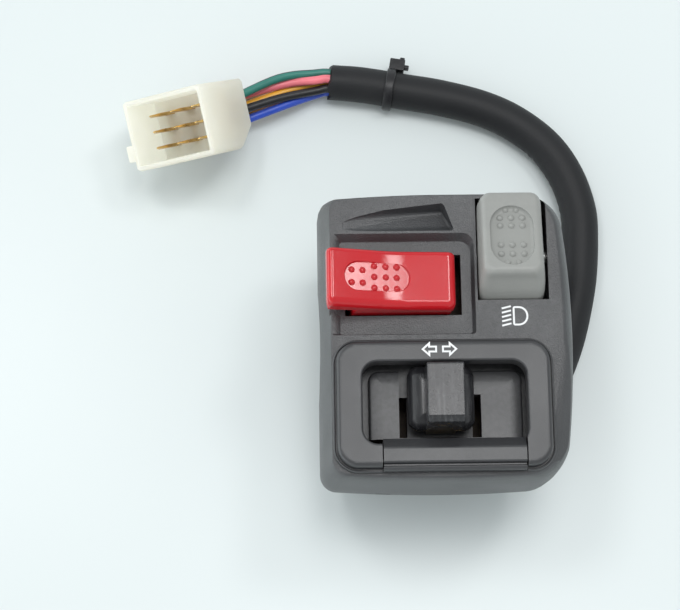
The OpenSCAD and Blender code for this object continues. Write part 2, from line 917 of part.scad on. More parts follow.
module grey_rocker() {
    half = grey_len - grey_low_reach;
    steps = 6;
    low_a = asin(body_low_z / grey_front_r);
    high_a = asin(grey_front_z / grey_front_r);
    front = [for (i = [0 : steps]) let (a = low_a + (high_a - low_a) * i / steps)
        grey_front_r * [-cos(a), sin(a)]];
    color("Gray")
    at_grey()
        rotate([-grey_tilt, 0, 0])
            difference() {
                union() {
                    difference() {
                        rotate([90, 0, 90])
                            linear_extrude(grey_wide, center = true)
                                polygon(concat([[-grey_low_reach - 0.4, top_h - 0.7],
                                    [-grey_low_reach, top_h], [0, top_h - 0.7], [half, top_h],
                                    [half + 0.5, top_h - 0.6], [grey_foot_top, grey_foot_z],
                                    [grey_foot_top - 0.6, body_low_z]], front));
                        translate([0, 0.3, top_h - 1.2])
                            rotate([0, 0, 90])
                                stadium(-2.4, 2.4, 4.8, 3);
                    }
                    translate([0, 0.3, top_h - 1.2])
                        bumps(grey_bumps);
                    rocker_stem();
                }
                rotate([0, 90, 0])
                    cylinder(r = pin_r + pin_play, h = grey_wide + 2, center = true);
                plunger_hole();
            }
}

module grey_pin() {
    color("Silver")
        grey_pin_rod(pin_r, 0);
}

module grey_plunger() {
    color("Gainsboro")
    at_grey()
        rotate([-grey_tilt, 0, 0])
            plunger();
}

module grey_spring() {
    color("Silver")
    at_grey()
        rotate([-grey_tilt, 0, 0])
            plunger_spring();
}

module grey_bridge() {
    color("Gold")
    translate([grey_x, grey_y, bridge_z])
        rotate([bridge_tilt, 0, 0])
            rotate([0, 0, 90])
                bridge();
}

module turn_knob() {
    half_x = knob_len / 2;
    half_y = knob_high / 2;
    color("Black")
    translate([knob_x, knob_y, 0])
        difference() {
            union() {
                hull() {
                    pad(-half_x, half_x, -half_y, half_y, 2.5, knob_z, knob_z + 1.4);
                    pad(3 - half_x, half_x - 3, 2.6 - half_y, half_y - 2, 2, knob_z + 3.4, knob_z + 4.2);
                }
                translate([ridge_x, -knob_y, knob_z + 2])
                    rotate([90, 0, 90])
                        linear_extrude(ridge_w, center = true)
                            polygon([[ridge_lo - 0.9, 0], [ridge_hi + 0.6, 0],
                                [ridge_hi, ridge_z - knob_z - 2], [ridge_lo + 1.6, ridge_z - knob_z - 2],
                                [ridge_lo, ridge_z - knob_z - 4]]);
                block([-knob_stem_x / 2, knob_stem_lo - knob_y, slider_top],
                    [knob_stem_x / 2, knob_stem_hi - knob_y, knob_z + 1]);
            }
            translate([0, (knob_stem_lo + knob_stem_hi) / 2 - knob_y, slider_top - 1])
                cylinder(r = small_screw_r + hole_play, h = 8);
        }
}

module turn_slider() {
    color("Gainsboro")
    translate([knob_x, 0, 0])
        difference() {
            block([-slider_half, slider_lo, slider_z], [slider_half, slider_hi, slider_top]);
            translate([0, (knob_stem_lo + knob_stem_hi) / 2, slider_z - 1])
                cylinder(r = small_screw_r + 0.1, h = slider_h + 2);
            translate([0, ball_y, slider_z + 0.8])
                cylinder(r = ball_r + 0.08, h = slider_h);
        }
}

module knob_screw() {
    color("Silver")
    translate([knob_x, (knob_stem_lo + knob_stem_hi) / 2, slider_z]) {
        cylinder(r = small_screw_r, h = slider_h + 6.5);
        translate([0, 0, -small_head_h])
            cylinder(r = small_head_r, h = small_head_h);
    }
}

module turn_wiper() {
    strip = 0.5;
    contact_z = board_top + rivet_head + play;
    color("Gold")
    translate([knob_x, 0, 0]) {
        block([-wiper_half, wiper_mid, slider_z - strip], [wiper_half, wiper_hi, slider_z]);
        for (x = [-wiper_half, wiper_half - wiper_arm]) {
            block([x, wiper_mid, contact_z], [x + wiper_arm, wiper_mid + strip, slider_z]);
            block([x, wiper_lo, contact_z], [x + wiper_arm, wiper_mid + strip, contact_z + strip]);
        }
    }
}

module detent_ball() {
    color("Silver")
    translate([knob_x, ball_y, ball_z - ball_r + 0.3])
        sphere(r = ball_r);
}

module detent_spring() {
    spring_z = slider_z + 0.8;
    color("Silver")
    translate([knob_x, ball_y, spring_z])
        coil(0.85, 0.2, 3, ball_z - 2 * ball_r + 0.3 - spring_z);
}

module horn_bar() {
    x0 = horn_x - horn_len / 2;
    color("Black")
    difference() {
        union() {
            translate([x0, 0, 0])
                rotate([90, 0, 90])
                    linear_extrude(horn_len)
                        polygon([[horn_top, face_z + 1], [horn_edge, bezel_z], [horn_foot, bezel_z],
                            [horn_foot - 0.3, bezel_z - 1.2], [horn_foot - 0.6, bezel_z - 1.2],
                            [horn_foot - 0.7, bezel_z - 0.6], [horn_low, bezel_z - 1],
                            [horn_low, face_z + 0.5], [horn_pin_y - horn_heel, face_z + 0.5],
                            [horn_pin_y - horn_heel, horn_base], [horn_push_y + 1.2, horn_base],
                            [horn_push_y + 1.2, face_z - 0.4]]);
            block([horn_x - push_half, horn_push_y - push_t, horn_push_z],
                [horn_x + push_half, horn_push_y + push_t, horn_base + 1]);
        }
        translate([x0 - 1, horn_pin_y, horn_pin_z])
            rotate([0, 90, 0])
                cylinder(r = horn_pin_r + pin_play, h = horn_len + 2);
    }
}

module horn_pin() {
    color("Silver")
    translate([horn_x - horn_len / 2 - horn_gap - cheek_t, horn_pin_y, horn_pin_z])
        rotate([0, 90, 0])
            cylinder(r = horn_pin_r, h = horn_len + 2 * (horn_gap + cheek_t));
}

module horn_spring() {
    color("Silver")
    translate([horn_spring_x, horn_push_y, board_top])
        coil(horn_spring_r, horn_spring_wire, 7, horn_base - board_top);
}

module horn_leaf() {
    color("Gold")
    translate([0, horn_push_y - leaf_w / 2, 0]) {
        block([leaf_left, 0, leaf_z], [horn_x + push_half, leaf_w, leaf_z + leaf_t]);
        block([leaf_left, 0, board_top], [leaf_left + leaf_t, leaf_w, leaf_z + leaf_t]);
        block([leaf_left - leaf_foot, 0, board_top], [leaf_left + leaf_t, leaf_w, board_top + leaf_t]);
    }
}

module cable_gland() {
    color("Black")
    at_gland()
        difference() {
            union() {
                translate([0, 0, -snout_in])
                    cylinder(r = snout_r, h = snout_in + snout_out);
                translate([0, 0, collar_at])
                    cylinder(r = collar_r, h = collar_t);
            }
            translate([0, 0, -snout_in - 1])
                cylinder(r = sleeve_r + hole_play, h = 20);
        }
}

module inner_leads() {
    color("DimGray")
    for (d = [-1, 0, 1])
        tube(smooth(lead_route + d * lead_spread, 3), lead_r, 8, [1, 0, 0]);
}

module cable_sleeve() {
    path = smooth(sleeve_route, 3);
    last = len(path) - 1;
    mouth = [for (i = [last - 5 : last]) path[i]];
    over = path[last] + (path[last] - path[last - 1]);
    color("Black")
    difference() {
        tube(path, sleeve_r, 12);
        tube(concat(mouth, [over]), sleeve_bore_r, 12);
    }
}

module cable_tie() {
    color("Black")
    translate(tie_at)
        rotate([0, 0, -tie_turn])
            rotate([0, 90, 0]) {
                difference() {
                    cylinder(r = sleeve_r + 0.9, h = tie_w, center = true);
                    cylinder(r = sleeve_r + hole_play, h = tie_w + 2, center = true);
                }
                translate([-tie_head / 2, sleeve_r + 0.3, -tie_w / 2])
                    cube([tie_head, tie_head, tie_w + 1.4]);
            }
}

// One loose wire: its hole in the connector, its place midway and its place in the sleeve
module wire(hole, midway, packed) {
    x = hole[0] * pitch_x;
    y = hole[1] * pitch_y;
    route = [
        plug_point([x, y, wire_in]),
        plug_point([x, y, 0]),
        plug_point([x, y, -wire_out]),
        wires_mid + [0, midway[0], midway[1]],
        sleeve_end + [-3.6, 1.12 * packed[0] - 0.4, 1.08 * packed[1]],
        sleeve_end + [0, packed[0], packed[1]],
        wires_inside + [0, packed[0], packed[1]]
    ];
    tube(smooth(route, 4), wire_r, 8);
}

module wire_green() {
    color("SeaGreen")
        wire([-1, 1], [4.6, 2.4], [2.4, 0]);
}

module wire_pink() {
    color("HotPink")
        wire([-1, 0], [1.4, 1.9], [1.2, 2.08]);
}

module wire_orange() {
    color("Orange")
        wire([0, 0], [0.3, -0.4], [0, 0]);
}

module wire_black() {
    color("Black")
        wire([0, 1], [-2.2, 2.6], [-1.2, 2.08]);
}

module wire_brown() {
    color("SaddleBrown")
        wire([1, -1], [-1.9, -2.6], [-1.2, -2.08]);
}

module wire_blue() {
    color("Blue")
        wire([1, 0], [-4.6, 0.2], [-2.4, 0]);
}

module wire_white() {
    color("White")
        wire([-1, -1], [2.6, -2.5], [1.2, -2.08]);
}

module connector_shell() {
    half_w = plug_w / 2;
    half_h = plug_h / 2;
    block_len = plug_len - mouth_d;
    color("Ivory")
    at_plug()
        difference() {
            union() {
                block([-half_w, -half_h, 0], [half_w, half_h, plug_len]);
                translate([half_w - 6.5, -half_h - 1.6, plug_len - 6])
                    cube([4, 1.8, 6]);
            }
            block([plug_wall - half_w, plug_wall - half_h, block_len],
                [half_w - plug_wall, half_h - plug_wall, plug_len + 1]);
            rotate([90, 0, 0])
                linear_extrude(plug_h + 2, center = true)
                    polygon([[heel_x, -1], [heel_x, 0], [half_w, heel_z], [half_w + 1, heel_z],
                        [half_w + 1, -1]]);
            for (i = [-1, 0, 1])
                for (j = [-1, 0, 1])
                    translate([i * pitch_x, j * pitch_y, 0]) {
                        translate([0, 0, -1])
                            cylinder(r = wire_r + 0.05, h = wire_in + 1);
                        translate([-blade_t / 2 - hole_play, -blade_w / 2 - hole_play, wire_in - 1])
                            cube([blade_t + 2 * hole_play, blade_w + 2 * hole_play, block_len]);
                    }
        }
}

module connector_pins() {
    blade_len = plug_len - mouth_d - wire_in + blade_out;
    color("Goldenrod")
    at_plug()
        for (i = [-1, 0, 1])
            for (j = [-1, 0, 1])
                translate([i * pitch_x - blade_t / 2, j * pitch_y, wire_in])
                    rotate([90, 0, 90])
                        linear_extrude(blade_t)
                            polygon([[-blade_w / 2, 0], [blade_w / 2, 0],
                                [blade_w / 2, blade_len - blade_tip], [blade_end / 2, blade_len],
                                [-blade_end / 2, blade_len], [-blade_w / 2, blade_len - blade_tip]]);
}

front_housing();
rear_housing();
clamp_screws();
turn_bezel();
slide_floor();
floor_screws();
contact_board();
board_screws();
contact_rivets();
bridge_posts();
red_rocker();
red_pin();
red_plunger();
red_spring();
red_bridge();
grey_rocker();
grey_pin();
grey_plunger();
grey_spring();
grey_bridge();
turn_knob();
turn_slider();
turn_wiper();
knob_screw();
detent_ball();
detent_spring();
horn_bar();
horn_pin();
horn_spring();
horn_leaf();
cable_gland();
inner_leads();
cable_sleeve();
cable_tie();
wire_green();
wire_pink();
wire_orange();
wire_black();
wire_brown();
wire_blue();
wire_white();
connector_shell();
connector_pins();
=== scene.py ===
"""Looks of a handlebar switch cluster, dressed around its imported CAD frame.

Sizes are millimetres in the part's own frame: X along the handlebar, Y up the face,
Z out of the face. Meshes are turned into metres when a piece is finished.
"""

import logging
import math
from dataclasses import dataclass, field
from enum import Enum
from typing import Callable, Sequence

import bmesh
import bpy
from mathutils import Matrix, Vector


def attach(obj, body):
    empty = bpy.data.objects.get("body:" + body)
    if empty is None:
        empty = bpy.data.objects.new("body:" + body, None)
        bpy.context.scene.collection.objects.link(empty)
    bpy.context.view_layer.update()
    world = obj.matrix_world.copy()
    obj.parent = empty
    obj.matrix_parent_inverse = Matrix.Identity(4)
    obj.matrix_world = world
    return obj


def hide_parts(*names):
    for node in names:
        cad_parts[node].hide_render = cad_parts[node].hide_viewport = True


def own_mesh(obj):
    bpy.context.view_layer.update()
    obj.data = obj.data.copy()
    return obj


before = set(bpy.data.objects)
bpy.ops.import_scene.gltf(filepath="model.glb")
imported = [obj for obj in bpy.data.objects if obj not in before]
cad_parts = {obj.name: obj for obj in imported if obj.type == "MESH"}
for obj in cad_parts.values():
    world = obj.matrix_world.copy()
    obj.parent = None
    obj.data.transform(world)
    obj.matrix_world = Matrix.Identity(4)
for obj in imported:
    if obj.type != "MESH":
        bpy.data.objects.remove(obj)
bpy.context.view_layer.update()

LOG = logging.getLogger("switch_cluster")
MM = 0.001
Point2 = tuple[float, float]
Point3 = tuple[float, float, float]
Radii = tuple[float, float, float, float]
Box = tuple[Point3, Point3]
Colour = tuple[float, float, float]
Edges = list[bmesh.types.BMEdge]
Socket = bpy.types.NodeSocket


def moved(x: float, y: float, z: float) -> Matrix:
    """A shift along the frame's axes."""
    return Matrix.Translation((x, y, z))


def turned(degrees: float, axis: str) -> Matrix:
    """A turn about one axis of the frame."""
    return Matrix.Rotation(math.radians(degrees), 4, axis)


def upended(x: float = 0.0) -> Matrix:
    """Stands an outline up: its X along Y, its Y along Z, its depth along X."""
    return Matrix(((0, 0, 1, x), (1, 0, 0, 0), (0, 1, 0, 0), (0, 0, 0, 1)))


class Body(Enum):
    """CAD bodies that the pieces ride on."""

    HOUSING = "housing"
    RED = "red_rocker"
    GREY = "grey_rocker"
    KNOB = "turn_knob"
    HORN = "horn_bar"


class Cut(Enum):
    """What a tool shape does to the shape that it meets."""

    AWAY = "DIFFERENCE"
    KEEP = "INTERSECT"
    ADD = "UNION"


@dataclass(frozen=True)
class Rect:
    """A rectangle in plan with its own corner radii: low left, low right, top right, top left."""

    left: float
    right: float
    low: float
    top: float
    radii: Radii

    def inset(self, by: float, least: float = 0.2) -> "Rect":
        """Draws the rectangle in on all sides.

        Args:
            by: How far each side moves in; negative moves it out.
            least: The smallest corner radius that is left.

        Returns:
            The smaller rectangle with tighter corners.
        """
        radii = tuple(max(r - by, least) for r in self.radii)
        return Rect(self.left + by, self.right - by, self.low + by, self.top - by, radii)


class Form:
    """A shape in the making, in millimetres, with the moves that the pieces share."""

    def __init__(self) -> None:
        """Starts empty."""
        self.bm = bmesh.new()

    def rounded(
        self, corners: Sequence[bmesh.types.BMVert], radii: Sequence[float], steps: int
    ) -> None:
        """Rounds the corners of a flat outline.

        Args:
            corners: The corner points.
            radii: Radius at each, 0 for a sharp one.
            steps: Segments in each round corner.
        """
        for corner, radius in zip(corners, radii):
            if radius:
                bmesh.ops.bevel(
                    self.bm, geom=[corner], offset=radius, segments=steps, profile=0.5,
                    affect="VERTICES", material=-1,
                )

    def raised(self, height: float) -> "Form":
        """Extrudes the flat faces of the form along Z."""
        made = bmesh.ops.extrude_face_region(self.bm, geom=list(self.bm.faces))["geom"]
        tops = [v for v in made if isinstance(v, bmesh.types.BMVert)]
        bmesh.ops.translate(self.bm, verts=tops, vec=(0, 0, height))
        return self.outward()

    def ring(self, rect: Rect, z: float, steps: int = 6, cuts: int = 0) -> Edges:
        """Lays one closed line round a rectangle with round corners.

        Args:
            rect: The rectangle in plan.
            z: The height that it lies at.
            steps: Segments in each corner.
            cuts: Points added along each straight side.

        Returns:
            The edges of the line.
        """
        before = set(self.bm.edges)
        places = [
            (rect.left, rect.low), (rect.right, rect.low),
            (rect.right, rect.top), (rect.left, rect.top),
        ]
        corners = [self.bm.verts.new((x, y, z)) for x, y in places]
        self.bm.faces.new(corners)
        self.rounded(corners, rect.radii, steps)
        edges = [e for e in self.bm.edges if e not in before]
        faces = list({f for e in edges for f in e.link_faces})
        bmesh.ops.delete(self.bm, geom=faces, context="FACES_ONLY")
        if cuts:
            straight = sorted(edges, key=lambda e: e.calc_length())[-4:]
            bmesh.ops.subdivide_edges(self.bm, edges=straight, cuts=cuts)
            edges = [e for e in self.bm.edges if e not in before]
        return edges

    def circle(self, radius: float, place: Matrix, sides: int) -> Edges:
        """Lays one circle.

        Args:
            radius: Its radius.
            place: Where it lies, square to its own Z.
            sides: Segments round it.

        Returns:
            The edges of the circle.
        """
        made = bmesh.ops.create_circle(self.bm, segments=sides, radius=radius, matrix=place)
        return list({e for v in made["verts"] for e in v.link_edges})

    def skin(self, loops: Sequence[Edges], capped: bool = True) -> "Form":
        """Stretches a skin over closed lines in order.

        Args:
            loops: The lines, each a list of edges.
            capped: True fills the first and last line; False joins them to each other.

        Returns:
            This form.
        """
        for one, two in zip(loops, loops[1:]):
            bmesh.ops.bridge_loops(self.bm, edges=one + two)
        if capped:
            for end in (loops[0], loops[-1]):
                bmesh.ops.edgeloop_fill(self.bm, edges=end)
        else:
            bmesh.ops.bridge_loops(self.bm, edges=loops[-1] + loops[0])
        return self.outward()

    def drawn(self, rect: Rect, line: Sequence[Point2], steps: int) -> "Form":
        """Lofts a rectangle through a side line.

        Args:
            rect: The rectangle in plan.
            line: How far it is drawn in, and the height, at each point of the line.
            steps: Segments in each corner.

        Returns:
            This form, closed at both ends.
        """
        return self.skin([self.ring(rect.inset(i), z, steps) for i, z in line])

    def lathed(self, line: Sequence[Point2], sides: int = 48) -> "Form":
        """Turns a closed line of radius and height about Z."""
        return self.skin([self.circle(r, moved(0, 0, z), sides) for r, z in line], capped=False)

    def prism(
        self,
        outline: Sequence[Point2],
        depth: float,
        rounding: Sequence[float] = (),
        steps: int = 4,
    ) -> "Form":
        """Extrudes an outline along Z, half to each side of its plane.

        Args:
            outline: Corner points in plan.
            depth: Length of the extrusion.
            rounding: Radius at each corner, 0 for a sharp one.
            steps: Segments in each round corner.

        Returns:
            This form.
        """
        corners = [self.bm.verts.new((x, y, -depth / 2)) for x, y in outline]
        self.bm.faces.new(corners)
        self.rounded(corners, rounding, steps)
        return self.raised(depth)

    def block(self, lo: Point3, hi: Point3) -> "Form":
        """Adds a box between two corners."""
        size = Vector(hi) - Vector(lo)
        place = Matrix.Translation((Vector(lo) + Vector(hi)) / 2)
        bmesh.ops.create_cube(self.bm, size=1, matrix=place @ Matrix.Diagonal((*size, 1)))
        return self

    def rod(self, radius: float, length: float, place: Matrix, sides: int = 48) -> "Form":
        """Adds a round bar that starts at a place and runs along its Z."""
        bmesh.ops.create_cone(
            self.bm, cap_ends=True, segments=sides, radius1=radius, radius2=radius,
            depth=length, matrix=place @ moved(0, 0, length / 2),
        )
        return self

    def domes(self, places: Sequence[Point2], radius: float, sink: float) -> "Form":
        """Adds low round bumps on the plane Z = 0.

        Args:
            places: Their centres.
            radius: Radius of each ball.
            sink: How far the ball's centre lies below the plane.

        Returns:
            This form.
        """
        for x, y in places:
            bmesh.ops.create_uvsphere(
                self.bm, u_segments=16, v_segments=10, radius=radius, matrix=moved(x, y, -sink)
            )
        return self

    def place(self, matrix: Matrix) -> "Form":
        """Moves and turns the whole form."""
        bmesh.ops.transform(self.bm, matrix=matrix, verts=self.bm.verts)
        return self

    def soften(self, width: float, steps: int, over: float = 40.0) -> "Form":
        """Rounds the edges that turn more sharply than an angle.

        Args:
            width: Width of the rounding.
            steps: Segments across it.
            over: The least angle, in degrees.

        Returns:
            This form.
        """
        bmesh.ops.remove_doubles(self.bm, verts=self.bm.verts, dist=0.001)
        self.outward()
        least = math.radians(over)
        sharp = [e for e in self.bm.edges if e.is_manifold and e.calc_face_angle(0) > least]
        bmesh.ops.bevel(
            self.bm, geom=sharp, offset=width, segments=steps, profile=0.5,
            affect="EDGES", clamp_overlap=True, material=-1,
        )
        return self

    def outward(self) -> "Form":
        """Turns all faces outwards."""
        bmesh.ops.recalc_face_normals(self.bm, faces=self.bm.faces)
        return self

    def join(self, *others: "Form") -> "Form":
        """Takes over the meshes of other forms, which are used up."""
        for other in others:
            mesh = bpy.data.meshes.new("joined")
            other.bm.to_mesh(mesh)
            self.bm.from_mesh(mesh)
            bpy.data.meshes.remove(mesh)
            other.bm.free()
        return self

    def shown_as(self, name: str) -> bpy.types.Object:
        """Links the form to the scene as an object and uses it up."""
        mesh = bpy.data.meshes.new(name)
        self.bm.to_mesh(mesh)
        self.bm.free()
        obj = bpy.data.objects.new(name, mesh)
        bpy.context.scene.collection.objects.link(obj)
        return obj

    def worked(self, *tools: "Form", how: Cut = Cut.AWAY) -> "Form":
        """Cuts the form with tool shapes, one after another.

        Args:
            tools: The shapes that cut, which are used up.
            how: What they do.

        Returns:
            This form, cut.
        """
        target = self.outward().shown_as("worked")
        helpers = [tool.outward().shown_as("tool") for tool in tools]
        for helper in helpers:
            step = target.modifiers.new("cut", "BOOLEAN")
            step.operation = how.value
            step.solver = "EXACT"
            step.object = helper
        graph = bpy.context.evaluated_depsgraph_get()
        mesh = bpy.data.meshes.new_from_object(target.evaluated_get(graph))
        self.bm = bmesh.new()
        self.bm.from_mesh(mesh)
        for extra in (target, *helpers):
            data = extra.data
            bpy.data.objects.remove(extra)
            bpy.data.meshes.remove(data)
        bpy.data.meshes.remove(mesh)
        return self.simplified(math.radians(0.5))

    def simplified(self, angle: float) -> "Form":
        """Joins faces that lie in one plane, but for an angle in radians."""
        bmesh.ops.dissolve_limit(
            self.bm, angle_limit=angle, verts=self.bm.verts, edges=self.bm.edges
        )
        return self


def finished(
    form: Form,
    name: str,
    finish: bpy.types.Material,
    body: Body,
    nodes: Sequence[str] = (),
    crease: float = 50.0,
) -> bpy.types.Object:
    """Turns a form into a piece of the model.

    Args:
        form: The shape in millimetres, which is used up.
        name: The piece's name.
        finish: Its material.
        body: The CAD body that it rides on.
        nodes: The CAD nodes that it stands for.
        crease: Angle in degrees over which an edge shades sharp.

    Returns:
        The finished object, at the origin, in metres.
    """
    bmesh.ops.scale(form.bm, vec=(MM, MM, MM), verts=form.bm.verts)
    for face in form.bm.faces:
        face.smooth = True
    obj = form.shown_as(name)
    obj.data.set_sharp_from_angle(angle=math.radians(crease))
    even = obj.modifiers.new("even", "WEIGHTED_NORMAL")
    even.keep_sharp = True
    obj.data.materials.append(finish)
    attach(obj, body.value)
    if nodes:
        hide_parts(*nodes)
    LOG.info("piece %s: %d faces", name, len(obj.data.polygons))
    return obj


class Tree:
    """A shader node tree with short ways to add and join nodes."""

    def __init__(self, tree: bpy.types.NodeTree) -> None:
        """Holds the tree and empties it."""
        self.tree = tree
        self.tree.nodes.clear()

    def add(self, kind: str, **values: object) -> bpy.types.Node:
        """Adds a node.

        Args:
            kind: The node's type name.
            values: Attributes of the node, or input sockets by name with _ for a space.
                A socket as the value is joined to the input.

        Returns:
            The node.
        """
        node = self.tree.nodes.new(kind)
        for key, value in values.items():
            if hasattr(node, key):
                setattr(node, key, value)
            elif isinstance(value, Socket):
                self.link(value, node.inputs[key.replace("_", " ")])
            else:
                node.inputs[key.replace("_", " ")].default_value = value
        return node

    def link(self, start: Socket, end: Socket) -> None:
        """Joins an output to an input."""
        self.tree.links.new(start, end)

    def sum_of(self, operation: str, *values: Socket | float, clamped: bool = False) -> Socket:
        """Adds a sum over sockets and numbers.

        Args:
            operation: The math node's operation.
            values: Its inputs in order.
            clamped: True holds the result between 0 and 1.

        Returns:
            The result's socket.
        """
        node = self.add("ShaderNodeMath", operation=operation, use_clamp=clamped)
        for socket, value in zip(node.inputs, values):
            if isinstance(value, Socket):
                self.link(value, socket)
            else:
                socket.default_value = value
        return node.outputs[0]

    def mixed(self, factor: Socket, one: Socket | Colour, two: Socket | Colour) -> Socket:
        """Mixes two colours.

        Args:
            factor: How much of the second.
            one: The first colour, a socket or a value.
            two: The second colour.

        Returns:
            The mixed colour's socket.
        """
        node = self.add("ShaderNodeMix", data_type="RGBA")
        self.link(factor, node.inputs[0])
        for socket, colour in ((node.inputs[6], one), (node.inputs[7], two)):
            if isinstance(colour, tuple):
                socket.default_value = (*colour, 1)
            else:
                self.link(colour, socket)
        return node.outputs[2]

    def blended(self, factor: Socket | float, one: Socket, two: Socket) -> Socket:
        """Blends two shaders.

        Args:
            factor: How much of the second, a socket or a value.
            one: The first shader.
            two: The second shader.

        Returns:
            The blended shader's socket.
        """
        node = self.add("ShaderNodeMixShader", Fac=factor)
        self.link(one, node.inputs[1])
        self.link(two, node.inputs[2])
        return node.outputs[0]

    def ranged(
        self, value: Socket, before: Point2 = (0.0, 1.0), after: Point2 = (0.0, 1.0)
    ) -> Socket:
        """Maps one range of a value onto another."""
        low, high = before
        start, end = after
        node = self.add(
            "ShaderNodeMapRange", Value=value, From_Min=low, From_Max=high, To_Min=start, To_Max=end
        )
        return node.outputs["Result"]

    def noise(
        self, scale: Socket | float, where: Socket | None = None, **values: float
    ) -> Socket:
        """Adds noise.

        Args:
            scale: Its scale, a socket or a value.
            where: The place in the noise; the object's own space if none is given.
            values: Other inputs of the noise.

        Returns:
            The noise's value.
        """
        spot = where or self.own_space()
        node = self.add("ShaderNodeTexNoise", Vector=spot, Scale=scale, **values)
        return node.outputs["Fac"]

    def own_space(self) -> Socket:
        """The object's own coordinates."""
        return self.add("ShaderNodeTexCoord").outputs["Object"]


def effect(
    name: str,
    inputs: dict[str, float],
    output: str,
    fill: Callable[[Tree, bpy.types.Node], Socket],
) -> bpy.types.NodeTree:
    """Builds one shared effect as a shader node group.

    Args:
        name: The group's name.
        inputs: Its inputs with their usual values.
        output: The name of its one output.
        fill: Adds the nodes and returns the socket that leaves the group.

    Returns:
        The group.
    """
    group = bpy.data.node_groups.new(name, "ShaderNodeTree")
    kind = "NodeSocketFloat"
    for key, value in inputs.items():
        socket = group.interface.new_socket(name=key, in_out="INPUT", socket_type=kind)
        socket.default_value = value
    group.interface.new_socket(name=output, in_out="OUTPUT", socket_type=kind)
    tree = Tree(group)
    entry = tree.add("NodeGroupInput")
    leave = tree.add("NodeGroupOutput")
    tree.link(fill(tree, entry), leave.inputs[output])
    return group


def fill_grain(tree: Tree, entry: bpy.types.Node) -> Socket:
    """Moulded grain: fine uneven pits, as a height."""
    pits = tree.noise(entry.outputs["Per Metre"], Detail=3.0, Roughness=0.6)
    return tree.ranged(pits, (0.35, 0.65))


def fill_patches(tree: Tree, entry: bpy.types.Node) -> Socket:
    """Broad soft patches, where hands and dust have changed the surface."""
    patches = tree.noise(entry.outputs["Per Metre"], Detail=4.0, Roughness=0.55)
    return tree.ranged(patches, (0.3, 0.7))


def fill_wear(tree: Tree, entry: bpy.types.Node) -> Socket:
    """Rubbed edges: the outer corners, broken up by noise."""
    shape = tree.add("ShaderNodeNewGeometry")
    edge = tree.ranged(shape.outputs["Pointiness"], (0.52, 0.62))
    patchy = tree.ranged(tree.noise(900.0, Detail=3.0), (0.35, 0.6))
    both = tree.sum_of("MULTIPLY", edge, patchy)
    return tree.sum_of("MULTIPLY", both, entry.outputs["Amount"], clamped=True)


def fill_scratches(tree: Tree, entry: bpy.types.Node) -> Socket:
    """Fine rubbing marks that run up the face."""
    drawn = tree.add(
        "ShaderNodeMapping",
        Vector=tree.own_space(), Scale=(1.0, 0.08, 0.35), Rotation=(0.0, 0.0, 0.12),
    )
    marks = tree.noise(
        entry.outputs["Per Metre"], drawn.outputs["Vector"], Detail=5.0, Roughness=0.7
    )
    return tree.ranged(marks, (0.5, 0.68))


class Effects:
    """The shared effects, each built once."""

    MARKS_PER_METRE = 1500.0

    def __init__(self) -> None:
        """Builds the four groups."""
        marks = {"Per Metre": self.MARKS_PER_METRE}
        self.grain = effect("moulded_grain", {"Per Metre": 4000.0}, "Height", fill_grain)
        self.patches = effect("soft_patches", {"Per Metre": 60.0}, "Patch", fill_patches)
        self.wear = effect("rubbed_edges", {"Amount": 0.5}, "Wear", fill_wear)
        self.scratches = effect("rubbing_marks", marks, "Mark", fill_scratches)

    @staticmethod
    def use(tree: Tree, group: bpy.types.NodeTree, amount: float) -> Socket:
        """Places a group in a material and sets its one input.

        Args:
            tree: The material's tree.
            group: The effect.
            amount: The value of its input.

        Returns:
            The effect's output.
        """
        node = tree.add("ShaderNodeGroup", node_tree=group)
        node.inputs[0].default_value = amount
        return node.outputs[0]


